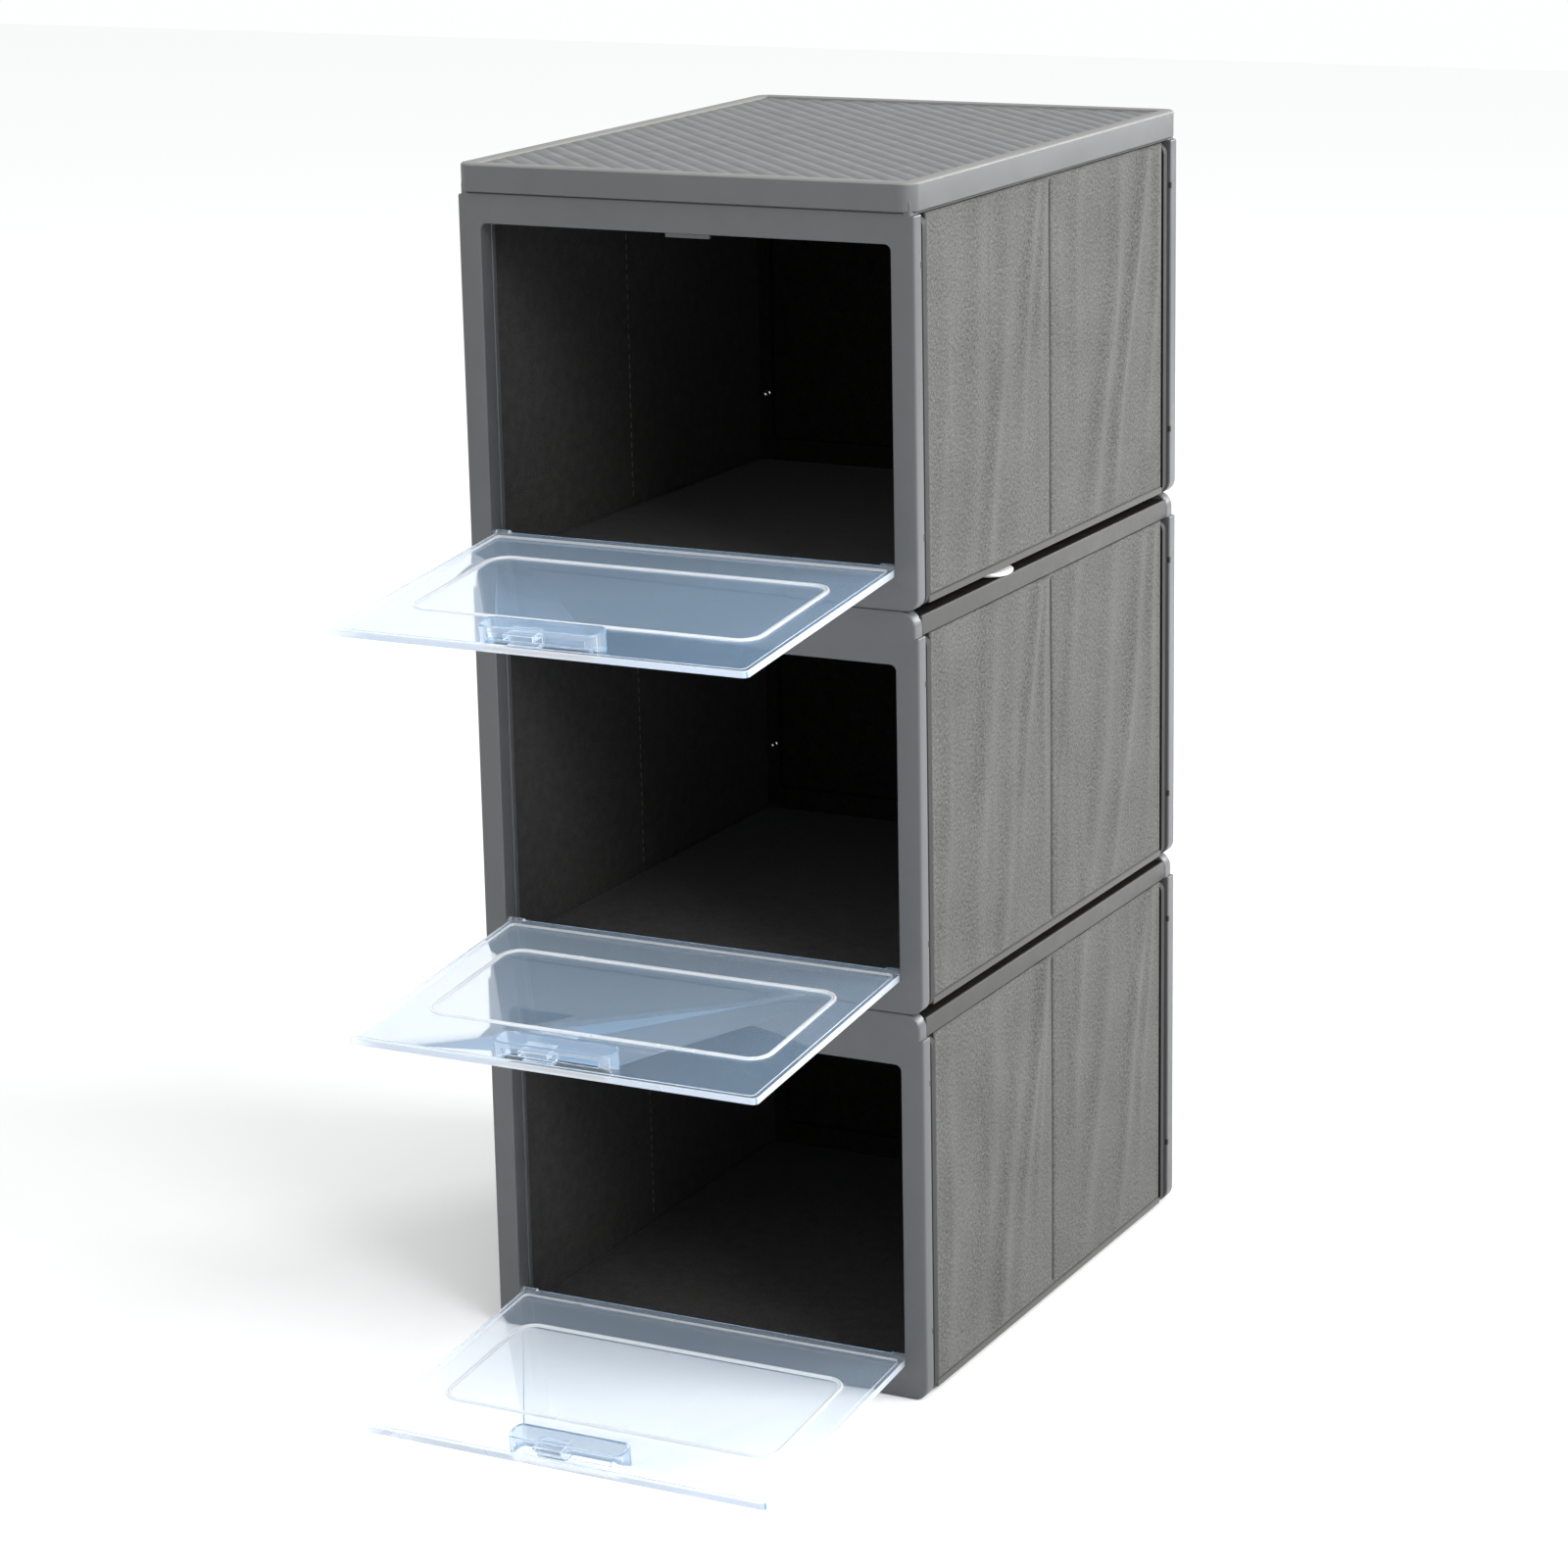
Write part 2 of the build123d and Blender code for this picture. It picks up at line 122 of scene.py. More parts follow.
class NodeTree:
    """Short way to add and wire the nodes of a material or a node group."""

    def __init__(self, tree: bpy.types.NodeTree) -> None:
        """Start from an empty tree.

        Args:
            tree: The node tree to fill.
        """
        self.tree = tree
        tree.nodes.clear()

    def add(self, kind: str, inputs: dict | None = None, **settings: object) -> bpy.types.Node:
        """Add one node.

        Args:
            kind: Blender's node type name.
            inputs: Value or output socket for each named or numbered input.
            settings: Attributes to set on the node.

        Returns:
            The new node.
        """
        node = self.tree.nodes.new(kind)
        for key, value in settings.items():
            setattr(node, key, value)
        for key, value in (inputs or {}).items():
            if isinstance(value, bpy.types.NodeSocket):
                self.tree.links.new(value, node.inputs[key])
            else:
                node.inputs[key].default_value = value
        return node

    def math(self, operation: str, *values: object) -> bpy.types.NodeSocket:
        """Add a Math node and return its output.

        Args:
            operation: The Math node's operation.
            values: Numbers or sockets, in order.

        Returns:
            The result's socket.
        """
        return self.add("ShaderNodeMath", dict(enumerate(values)), operation=operation).outputs[0]

    def remap(self, value: object, low: float, high: float, new_low: float,
              new_high: float) -> bpy.types.NodeSocket:
        """Map a value from one range to another, clamped.

        Args:
            value: The socket to map.
            low: Start of its range.
            high: End of its range.
            new_low: Result at low.
            new_high: Result at high.

        Returns:
            The result's socket.
        """
        inputs = {"Value": value, "From Min": low, "From Max": high, "To Min": new_low, "To Max": new_high}
        return self.add("ShaderNodeMapRange", inputs, clamp=True).outputs["Result"]

    def noise(self, vector: object, scale: object, detail: float = 2.0,
              rough: float = 0.5) -> bpy.types.NodeSocket:
        """Add a 3-D noise and return its value.

        Args:
            vector: Coordinates.
            scale: Cells for each metre.
            detail: Octaves.
            rough: Strength of the finer octaves.

        Returns:
            The noise value's socket.
        """
        inputs = {"Vector": vector, "Scale": scale, "Detail": detail, "Roughness": rough}
        return self.add("ShaderNodeTexNoise", inputs).outputs["Fac"]

    def stretch(self, vector: object, scale: tuple[float, float, float]) -> bpy.types.NodeSocket:
        """Scale coordinates differently along each axis.

        Args:
            vector: Coordinates.
            scale: Factor for each axis.

        Returns:
            The scaled coordinates' socket.
        """
        return self.add("ShaderNodeMapping", {"Vector": vector, "Scale": scale}).outputs["Vector"]

    def tint(self, share: object, dark: object, light: object) -> bpy.types.NodeSocket:
        """Mix two colours.

        Args:
            share: 0 gives the dark colour and 1 the light one.
            dark: First colour.
            light: Second colour.

        Returns:
            The mixed colour's socket.
        """
        return self.add("ShaderNodeMix", {0: share, 6: dark, 7: light}, data_type="RGBA").outputs[2]

    def weigh(self, *parts: tuple[object, float]) -> bpy.types.NodeSocket:
        """Add up values, each times its weight.

        Args:
            parts: A value's socket and its weight, for each value.

        Returns:
            The sum's socket.
        """
        total, *others = [self.math("MULTIPLY", value, weight) for value, weight in parts]
        for other in others:
            total = self.math("ADD", total, other)
        return total


def group_tree(name: str, inputs: tuple[str, ...],
               outputs: tuple[str, ...] = ("Color", "Roughness", "Height")) -> tuple[NodeTree, dict]:
    """Start a shader node group.

    Args:
        name: Name of the group.
        inputs: Names of the inputs after Vector.
        outputs: Names of the outputs.

    Returns:
        The group's tree, and its inputs by name.
    """
    tree = bpy.data.node_groups.new(name, "ShaderNodeTree")
    kinds = {"Vector": "Vector", "Dark": "Color", "Light": "Color", "Color": "Color"}
    for way, names in (("INPUT", ("Vector", *inputs)), ("OUTPUT", outputs)):
        for key in names:
            tree.interface.new_socket(key, in_out=way, socket_type=f"NodeSocket{kinds.get(key, 'Float')}")
    nodes = NodeTree(tree)
    return nodes, {socket.name: socket for socket in nodes.add("NodeGroupInput").outputs}


def moulded_group() -> bpy.types.NodeTree:
    """Fine spark grain, faint flow marks and rubbed patches of moulded plastic.

    Returns:
        The group, from Vector, Dark, Light, Grain and Roughness to Color, Roughness and Height.
    """
    nodes, given = group_tree("moulded_grain", ("Dark", "Light", "Grain", "Roughness"))
    vector = given["Vector"]
    grain = nodes.noise(vector, given["Grain"], 1.0)
    flow = nodes.noise(nodes.stretch(vector, (1.0, 1.0, 0.35)), 14.0, 3.0, 0.55)
    rubbed = nodes.noise(vector, 70.0, 4.0, 0.6)
    share = nodes.math("ADD", nodes.remap(flow, 0.3, 0.7, 0.0, 0.6),
                       nodes.remap(rubbed, 0.35, 0.65, 0.0, 0.4))
    color = nodes.tint(share, given["Dark"], given["Light"])
    rough = nodes.math("ADD", given["Roughness"], nodes.remap(rubbed, 0.3, 0.7, -0.05, 0.06))
    nodes.add("NodeGroupOutput", {"Color": color, "Roughness": rough, "Height": grain})
    return nodes.tree


def linen_group() -> bpy.types.NodeTree:
    """Heathered plain weave: crossed threads with thick and thin slubs, mixed from two yarns.

    Returns:
        The group, from Vector in metres, Dark, Light and Threads to Color, Roughness and Height.
    """
    nodes, given = group_tree("heathered_linen", ("Dark", "Light", "Threads"))
    vector = given["Vector"]
    upright = nodes.noise(nodes.stretch(vector, (950.0, 520.0, 950.0)), 1.0, 2.0, 0.6)
    level = nodes.noise(nodes.stretch(vector, (520.0, 950.0, 520.0)), 1.0, 2.0, 0.6)
    speck = nodes.noise(vector, 760.0, 2.0, 0.6)
    cloud = nodes.noise(vector, 22.0, 3.0, 0.5)
    yarn = nodes.weigh((upright, 0.32), (level, 0.28), (speck, 0.30), (cloud, 0.10))
    color = nodes.tint(nodes.remap(yarn, 0.38, 0.62, 0.0, 1.0), given["Dark"], given["Light"])
    parts = nodes.add("ShaderNodeSeparateXYZ", {0: vector})
    waves = []
    for axis in ("X", "Y"):
        turns = nodes.math("MULTIPLY", parts.outputs[axis], given["Threads"])
        waves.append(nodes.math("ABSOLUTE", nodes.math("SINE", nodes.math("MULTIPLY", turns, math.pi))))
    height = nodes.weigh((nodes.math("ADD", *waves), 0.3), (yarn, 1.2))
    rough = nodes.remap(yarn, 0.35, 0.65, 0.92, 0.82)
    nodes.add("NodeGroupOutput", {"Color": color, "Roughness": rough, "Height": height})
    return nodes.tree


def felt_group() -> bpy.types.NodeTree:
    """Matted fibres of a non-woven lining.

    Returns:
        The group, from Vector, Dark and Light to Color, Roughness and Height.
    """
    nodes, given = group_tree("matted_fibres", ("Dark", "Light"))
    fibres = nodes.noise(given["Vector"], 900.0, 3.0, 0.7)
    mats = nodes.noise(given["Vector"], 160.0, 3.0, 0.6)
    share = nodes.weigh((fibres, 0.6), (mats, 0.4))
    color = nodes.tint(nodes.remap(share, 0.35, 0.65, 0.0, 1.0), given["Dark"], given["Light"])
    rough = nodes.remap(mats, 0.3, 0.7, 0.9, 1.0)
    nodes.add("NodeGroupOutput", {"Color": color, "Roughness": rough, "Height": share})
    return nodes.tree


def gloss_group() -> bpy.types.NodeTree:
    """Faint smears and flow waves in the gloss of clear plastic.

    Returns:
        The group, from Vector and Roughness to Roughness and Height.
    """
    nodes, given = group_tree("smeared_gloss", ("Roughness",), ("Roughness", "Height"))
    smear = nodes.noise(nodes.stretch(given["Vector"], (1.0, 0.4, 1.0)), 18.0, 3.0, 0.5)
    rough = nodes.math("MULTIPLY", given["Roughness"], nodes.remap(smear, 0.35, 0.75, 1.0, 2.2))
    nodes.add("NodeGroupOutput", {"Roughness": rough, "Height": nodes.noise(given["Vector"], 30.0, 1.0)})
    return nodes.tree


class Coordinates(Enum):
    """What a finish's pattern follows."""

    OBJECT = "Object"
    SURFACE = "UV"


@dataclass(frozen=True)
class Finish:
    """A finish: one of the shared effects with its own values, on one Principled shader."""

    name: str
    group: str
    values: dict
    sockets: dict
    bump: float
    bump_distance: float
    follows: Coordinates = Coordinates.OBJECT

    def build(self, groups: dict[str, bpy.types.NodeTree]) -> bpy.types.Material:
        """Make the material.

        Args:
            groups: The shared node groups by name.

        Returns:
            The material.
        """
        material = bpy.data.materials.new(self.name)
        material.use_nodes = True
        nodes = NodeTree(material.node_tree)
        place = nodes.add("ShaderNodeTexCoord").outputs[self.follows.value]
        effect = nodes.add("ShaderNodeGroup", {"Vector": place, **self.values}, node_tree=groups[self.group])
        made = effect.outputs
        bump = nodes.add("ShaderNodeBump", {"Strength": self.bump, "Distance": self.bump_distance,
                                            "Height": made["Height"]})
        color = {"Base Color": made["Color"]} if "Color" in made else {}
        shader = nodes.add("ShaderNodeBsdfPrincipled", {"Roughness": made["Roughness"], **color,
                                                        "Normal": bump.outputs["Normal"], **self.sockets})
        nodes.add("ShaderNodeOutputMaterial", {"Surface": shader.outputs[0]})
        return material


Shade = tuple[float, float, float]


def shades(dark: Shade, light: Shade, **values: float) -> dict:
    """Values of an effect that mixes two colours, and its other values."""
    return {"Dark": (*dark, 1.0), "Light": (*light, 1.0), **values}


def clear(color: Shade, ior: float, passing: float, haze: float, painted_glow: float) -> dict:
    """Shader values of clear moulded plastic, a little milky.

    Args:
        color: Base colour.
        ior: Index of refraction.
        passing: Share that passes through; the rest is scattered, as in translucent polypropylene.
        haze: Weight of the bluish bloom at a slant.
        painted_glow: Emission painted on an edge, standing in for the light it carries from the sheet; it
            shines the same under any lamp.

    Returns:
        Value of each socket.
    """
    return {"Base Color": (*color, 1.0), "IOR": ior, "Transmission Weight": passing, "Sheen Weight": haze,
            "Sheen Roughness": 0.6, "Sheen Tint": (0.2, 0.55, 0.98, 1.0),
            "Emission Color": (0.97, 0.985, 1.0, 1.0), "Emission Strength": painted_glow}


class Palette:
    """Every finish of the stack, built once."""

    # Moulded plastic and metal, and the painted shadow and painted highlight made with the same effect: name,
    # dark and light colour, grains for each metre, roughness, bump strength and distance, and other shader
    # values.
    MOULDED = (
        ("frame_plastic", (0.068, 0.071, 0.075), (0.079, 0.082, 0.086), 1500.0, 0.36, 0.12, 0.0001, {}),
        ("lid_plastic", (0.072, 0.074, 0.076), (0.084, 0.086, 0.087), 900.0, 0.38, 0.05, 0.0001, {}),
        # Lighter copy of the lid plastic: a painted highlight along the rim.
        ("lid_rim", (0.165, 0.166, 0.161), (0.190, 0.191, 0.185), 900.0, 0.55, 0.05, 0.0001,
         {"Specular IOR Level": 0.2}),
        ("lid_field", (0.066, 0.068, 0.069), (0.080, 0.082, 0.083), 1100.0, 0.48, 0.2, 0.0001, {}),
        ("band_plastic", (0.029, 0.030, 0.028), (0.037, 0.038, 0.0355), 900.0, 0.5, 0.12, 0.0001, {}),
        ("white_nylon", (0.75, 0.75, 0.75), (0.85, 0.85, 0.85), 900.0, 0.3, 0.05, 0.0001, {}),
        ("stud_metal", (0.62, 0.61, 0.58), (0.75, 0.74, 0.72), 2500.0, 0.18, 0.1, 0.00005,
         {"Metallic": 1.0}),
        # Near-black painted shadow, for recesses and shadow lines.
        ("groove_shadow", (0.012, 0.012, 0.012), (0.016, 0.016, 0.016), 1500.0, 0.7, 0.1, 0.0001, {}),
    )
    LINEN = ("heathered_linen", shades((0.024, 0.0245, 0.0225), (0.119, 0.120, 0.1135), Threads=1400.0),
             {"Sheen Weight": 0.10, "Sheen Roughness": 0.5, "Specular IOR Level": 0.2}, 0.6, 0.0004)
    FINISHES = (
        *(Finish(name, "moulded_grain", shades(dark, light, Grain=grain, Roughness=rough), sockets, *bump)
          for name, dark, light, grain, rough, *bump, sockets in MOULDED),
        Finish("side_linen", *LINEN, Coordinates.SURFACE),
        Finish("panel_linen", *LINEN),
        Finish("dark_lining", "matted_fibres", shades((0.019, 0.019, 0.018), (0.046, 0.046, 0.044)),
               {"Sheen Weight": 0.05, "Specular IOR Level": 0.2}, 0.5, 0.0004),
        # A darker copy of the lining with no reflection, painted with the shade that falls deep in the box:
        # on the back panel's inside, the roof's top and the rear retainer.
        Finish("painted_shade_lining", "matted_fibres", shades((0.008, 0.0072, 0.0065), (0.020, 0.018, 0.0165)),
               {"Specular IOR Level": 0.0}, 0.5, 0.0004),
        Finish("thread", "matted_fibres", shades((0.07, 0.07, 0.065), (0.13, 0.13, 0.12)),
               {"Specular IOR Level": 0.3}, 0.3, 0.0002),
        Finish("clear_plastic", "smeared_gloss", {"Roughness": 0.03},
               clear((0.86, 0.875, 0.885), ior=1.46, passing=0.94, haze=0.26, painted_glow=0.0), 0.02, 0.001),
        # A milkier, more scattering copy of the clear plastic that paints rims, edges and the raised line as
        # bright highlight lines, with a faint painted emission.
        Finish("clear_edges", "smeared_gloss", {"Roughness": 0.25},
               clear((0.72, 0.745, 0.78), ior=1.49, passing=0.50, haze=0.0, painted_glow=0.04), 0.02, 0.001),
    )

    def __init__(self) -> None:
        """Build the shared groups, then each material."""
        made = [moulded_group(), linen_group(), felt_group(), gloss_group()]
        groups = {group.name: group for group in made}
        self.materials = {finish.name: finish.build(groups) for finish in self.FINISHES}

    def __getitem__(self, name: str) -> bpy.types.Material:
        """Return the material of that name."""
        return self.materials[name]

    def pick(self, *names: str) -> list[bpy.types.Material]:
        """Return the materials of those names, in order."""
        return [self.materials[name] for name in names]


# ---------------------------------------------------------------- surfaces


class Surface:
    """Collects grids of points and makes one mesh object of them."""

    def __init__(self) -> None:
        """Start with nothing."""
        self.points: list[np.ndarray] = []
        self.faces: list[np.ndarray] = []
        self.places: list[np.ndarray] = []
        self.slots: list[np.ndarray] = []
        self.count = 0

    def grid(self, points: np.ndarray, wrap: tuple[bool, bool] = (False, False), flip: bool = False,
             slot: int = 0, places: np.ndarray | None = None) -> "Surface":
        """Add a grid of points joined by quads, each between two rows and two columns.

        Args:
            points: Array of rows, columns and X, Y, Z, in millimetres.
            wrap: Whether the last row joins the first, and the last column the first.
            flip: Turn the faces over.
            slot: Material slot of its faces.
            places: Array of rows, columns and U, V in metres, or None for zeros.

        Returns:
            This collection.
        """
        rows, columns = points.shape[:2]
        numbers = np.arange(rows * columns).reshape(rows, columns) + self.count
        if wrap[0]:
            numbers = np.vstack([numbers, numbers[:1]])
        if wrap[1]:
            numbers = np.hstack([numbers, numbers[:, :1]])
        quads = np.stack([numbers[:-1, :-1], numbers[:-1, 1:], numbers[1:, 1:], numbers[1:, :-1]], -1)
        quads = quads.reshape(-1, 4)
        self.points.append(points.reshape(-1, 3))
        self.faces.append(quads[:, ::-1] if flip else quads)
        self.places.append(np.zeros((rows * columns, 2)) if places is None else places.reshape(-1, 2))
        self.slots.append(np.full(len(quads), slot, np.int32))
        self.count += rows * columns
        return self

    def cap(self, ring: np.ndarray, flip: bool = False, slot: int = 0) -> "Surface":
        """Close a ring of points with a strip that joins each point to the one across from it.

        Args:
            ring: Array of an even number of points, in millimetres, in order round the ring.
            flip: Turn the faces over.
            slot: Material slot of its faces.

        Returns:
            This collection.
        """
        half = len(ring) // 2
        near, far = ring[:half], ring[half:][::-1]
        return self.grid(np.stack([near, far], 0), flip=flip, slot=slot)

    def build(self, name: str, materials: list[bpy.types.Material]) -> bpy.types.Object:
        """Make the object, with doubles merged and sharp edges kept sharp.

        Args:
            name: Name of the piece.
            materials: One for each slot.

        Returns:
            The new object, linked to the scene.
        """
        points = np.concatenate(self.points) * MM
        faces = np.concatenate(self.faces)
        mesh = bpy.data.meshes.new(name)
        mesh.from_pydata(points.tolist(), [], faces.tolist())
        layer = mesh.uv_layers.new(name="cloth")
        corner = np.zeros(len(mesh.loops), np.int32)
        mesh.loops.foreach_get("vertex_index", corner)
        layer.data.foreach_set("uv", np.concatenate(self.places)[corner].astype(np.float32).ravel())
        mesh.polygons.foreach_set("material_index", np.concatenate(self.slots))
        mesh.polygons.foreach_set("use_smooth", np.ones(len(mesh.polygons), bool))
        for material in materials:
            mesh.materials.append(material)
        work = bmesh.new()
        work.from_mesh(mesh)
        bmesh.ops.remove_doubles(work, verts=work.verts, dist=WELD)
        bmesh.ops.dissolve_degenerate(work, edges=work.edges, dist=WELD / 4)
        work.to_mesh(mesh)
        work.free()
        mesh.update()
        mesh.set_sharp_from_angle(angle=SMOOTH_ANGLE)
        return link(name, mesh)


def link(name: str, data: bpy.types.ID) -> bpy.types.Object:
    """Make an object of a mesh, a camera or a lamp, and link it to the scene.

    Args:
        name: Name of the object.
        data: What it shows.

    Returns:
        The new object.
    """
    piece = bpy.data.objects.new(name, data)
    bpy.context.scene.collection.objects.link(piece)
    return piece


def hand_over(piece: bpy.types.Object, body: str, slot: str, *nodes: str) -> None:
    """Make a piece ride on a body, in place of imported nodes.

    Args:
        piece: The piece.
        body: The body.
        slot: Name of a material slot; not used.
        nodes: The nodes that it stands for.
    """
    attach(piece, body)
    if nodes:
        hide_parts(*nodes)
    log.info("made %s", piece.name)


def arcs(corners: np.ndarray, radii: np.ndarray, steps: int) -> np.ndarray:
    """Outline of a polygon with rounded corners, the same number of points at each corner.

    A corner's arc starts and ends at radius x tan(turn / 2) from the corner along its two sides, and
    its points are the centre plus the radius, turned evenly between the two sides' normals.

    Args:
        corners: Corner points, in order, anticlockwise.
        radii: Radius of each corner, which may be a hollow one.
        steps: Points for each corner.

    Returns:
        Array of corners x steps points.
    """
    ahead = np.roll(corners, -1, 0) - corners
    ahead /= np.linalg.norm(ahead, axis=1, keepdims=True)
    behind = np.roll(ahead, 1, 0)
    turn = np.arctan2(behind[:, 0] * ahead[:, 1] - behind[:, 1] * ahead[:, 0], (behind * ahead).sum(1))
    reach = radii * np.abs(np.tan(turn / 2))
    start = corners - behind * reach[:, None]
    inward = np.sign(turn)[:, None] * np.stack([-behind[:, 1], behind[:, 0]], 1)
    centre = start + inward * radii[:, None]
    angle = turn[:, None] * np.linspace(0, 1, steps)[None, :]
    spoke = -inward * radii[:, None]
    cos, sin = np.cos(angle), np.sin(angle)
    x = centre[:, :1] + spoke[:, :1] * cos - spoke[:, 1:] * sin
    y = centre[:, 1:] + spoke[:, :1] * sin + spoke[:, 1:] * cos
    return np.stack([x, y], -1).reshape(-1, 2)


def stand(outline: np.ndarray, y: float) -> np.ndarray:
    """Place an outline of X and Z at one Y.

    Args:
        outline: Array of points, in millimetres.
        y: Place along Y, in millimetres.

    Returns:
        Array of X, Y, Z points.
    """
    return np.stack([outline[:, 0], np.full(len(outline), y), outline[:, 1]], -1)


def add_box(surface: Surface, low: tuple, high: tuple, radius: float, slot: int = 0) -> None:
    """Add a closed box with every edge rounded to a surface, as a grid of rings and two caps.

    Each ring is a rounded rectangle; the first and last shrink to the flat ends.

    Args:
        surface: Where it goes.
        low: Lowest corner, in millimetres.
        high: Highest corner.
        radius: Radius of its edges.
        slot: Material slot.
    """
    low, high = np.array(low, float), np.array(high, float)
    steps = 4
    quarter = np.linspace(0, math.pi / 2, steps)
    rise, fall = radius * (1 - np.cos(quarter)), radius * (1 - np.sin(quarter))
    insets = np.concatenate([[radius * 0.999], fall, rise])
    levels = np.concatenate([[low[2]], low[2] + rise, high[2] - fall])
    rings = []
    for inset, level in zip(insets, levels):
        corners = rectangle(low[0] + inset, low[1] + inset, high[0] - inset, high[1] - inset)
        outline = arcs(corners, np.full(4, max(radius - inset, 0.01)), steps)
        rings.append(np.column_stack([outline, np.full(len(outline), level)]))
    surface.grid(np.array(rings), wrap=(False, True), slot=slot)
    surface.cap(rings[0], flip=True, slot=slot)
    surface.cap(rings[-1], slot=slot)


def rectangle(left: float, low: float, right: float, high: float) -> np.ndarray:
    """Corners of a rectangle, anticlockwise from the lowest on the left."""
    return np.array([[left, low], [right, low], [right, high], [left, high]])


def turned(profile: np.ndarray, centre: np.ndarray, axis: int, toward: float, steps: int) -> Surface:
    """Surface turned about an axis.

    Args:
        profile: Array of radius and height, in millimetres.
        centre: Where the height is zero on the axis.
        axis: 1 for Y and 2 for Z.
        toward: 1 or -1, the way in which the height grows.
        steps: Points round the turn.

    Returns:
        The open surface.
    """
    turn = np.linspace(0, 2 * math.pi, steps + 1)[:-1]
    ring = np.zeros((steps, 3))
    ring[:, 0], ring[:, 3 - axis] = np.cos(turn), np.sin(turn)
    points = ring[None] * profile[:, 0][:, None, None] + centre
    points[:, :, axis] += toward * profile[:, 1][:, None]
    return Surface().grid(points, wrap=(False, True))


def node_box(name: str) -> tuple[np.ndarray, np.ndarray]:
    """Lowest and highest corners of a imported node, in millimetres.

    Args:
        name: The node.

    Returns:
        The two corners.
    """
    low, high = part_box(name)
    return np.array(low) / MM, np.array(high) / MM


def dress(name: str, material: bpy.types.Material) -> None:
    """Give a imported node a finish.

    Args:
        name: The node.
        material: Its material.
    """
    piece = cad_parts[name]
    piece.data.materials.clear()
    piece.data.materials.append(material)


def bevelled_copy(name: str, title: str, materials: list[bpy.types.Material], width: float,
                  zone: Callable[[Vector, Vector], int]) -> bpy.types.Object:
    """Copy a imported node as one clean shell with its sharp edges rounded.

    Args:
        name: The node to copy.
        title: Name of the new piece.
        materials: Its materials.
        width: Radius of the rounded edges, in millimetres.
        zone: Gives the material's number for a face's centre and normal. The rounded edges have the last.

    Returns:
        The new piece.
    """
    work = bmesh.new()
    work.from_mesh(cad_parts[name].data)
    bmesh.ops.remove_doubles(work, verts=work.verts, dist=0.01 * MM)
    bmesh.ops.dissolve_limit(work, angle_limit=math.radians(1.0), verts=work.verts, edges=work.edges)
    for face in work.faces:
        face.material_index = zone(face.calc_center_median(), face.normal)
    mesh = bpy.data.meshes.new(title)
    work.to_mesh(mesh)
    work.free()
    for material in materials:
        mesh.materials.append(material)
    mesh.polygons.foreach_set("use_smooth", np.ones(len(mesh.polygons), bool))
    piece = link(title, mesh)
    bevel = piece.modifiers.new("rounded_edges", "BEVEL")
    bevel.width = width * MM
    bevel.segments = 2
    bevel.material = len(materials) - 1
    bevel.limit_method = "ANGLE"
    bevel.angle_limit = math.radians(25)
    bevel.harden_normals = True
    mesh.set_sharp_from_angle(angle=math.radians(40))
    return piece


# ---------------------------------------------------------------- the box


@dataclass
class FrameShape:
    """Outlines of a moulded frame, in millimetres."""

    half_width: float
    height: float
    shoulder: float = 187.5
    neck_half: float = 121.0
    sill: float = 16.0
    opening_top: float = 173.6
    opening_half: float = 110.5
    foot_radius: float = 7.0
    neck_radius: float = 8.0
    opening_radius: float = 3.2
    steps: int = 9

    def outer(self, inset: float) -> np.ndarray:
        """Outline of the frame, moved inwards: feet, sides, shoulders and neck.

        Args:
            inset: How far, in millimetres.

        Returns:
            Array of X, Z points, eight corners of the same number of points.
        """
        wide, neck = self.half_width - inset, self.neck_half - inset
        foot, shoulder, top = inset, self.shoulder - inset, self.height - inset
        corners = np.array([[-wide, foot], [wide, foot], [wide, shoulder], [neck, shoulder],
                            [neck, top], [-neck, top], [-neck, shoulder], [-wide, shoulder]])
        step, hollow = max(0.9 - inset, 0.05), min(0.3 + inset * 0.5, 0.8)
        radii = np.array([self.foot_radius - inset] * 2 + [step, hollow] + [self.neck_radius - inset] * 2
                         + [hollow, step])
        return arcs(corners, radii, self.steps)

    def window(self, half: float, bottom: float, top: float, radius: float, foot: float) -> np.ndarray:
        """Rounded rectangle with as many points as the outer outline, so that the two can be joined.

        Its extra corners are straight stretches of its sides, just under the upper corners.

        Args:
            half: Half of its width.
            bottom: Lowest Z.
            top: Highest Z.
            radius: Radius of the upper corners.
            foot: Radius of the lower corners.

        Returns:
            Array of X, Z points.
        """
        rounded = arcs(rectangle(-half, bottom, half, top), np.array([foot, foot, radius, radius]),
                       self.steps).reshape(4, self.steps, 2)
        rise = top - radius - np.linspace(12.0, 1.0, 2 * self.steps)
        right = np.stack([np.full(2 * self.steps, half), rise], -1)
        left = right[::-1] * [-1, 1]
        return np.concatenate([rounded[0], rounded[1], right, rounded[2], rounded[3], left])

    def opening(self, grow: float) -> np.ndarray:
        """Outline of the opening, grown by a few tenths for its rounded edge.

        Args:
            grow: How far outwards, in millimetres.

        Returns:
            Array of X, Z points.
        """
        return self.window(self.opening_half + grow, self.sill - grow, self.opening_top + grow,
                           self.opening_radius + grow, 1.0 + grow)


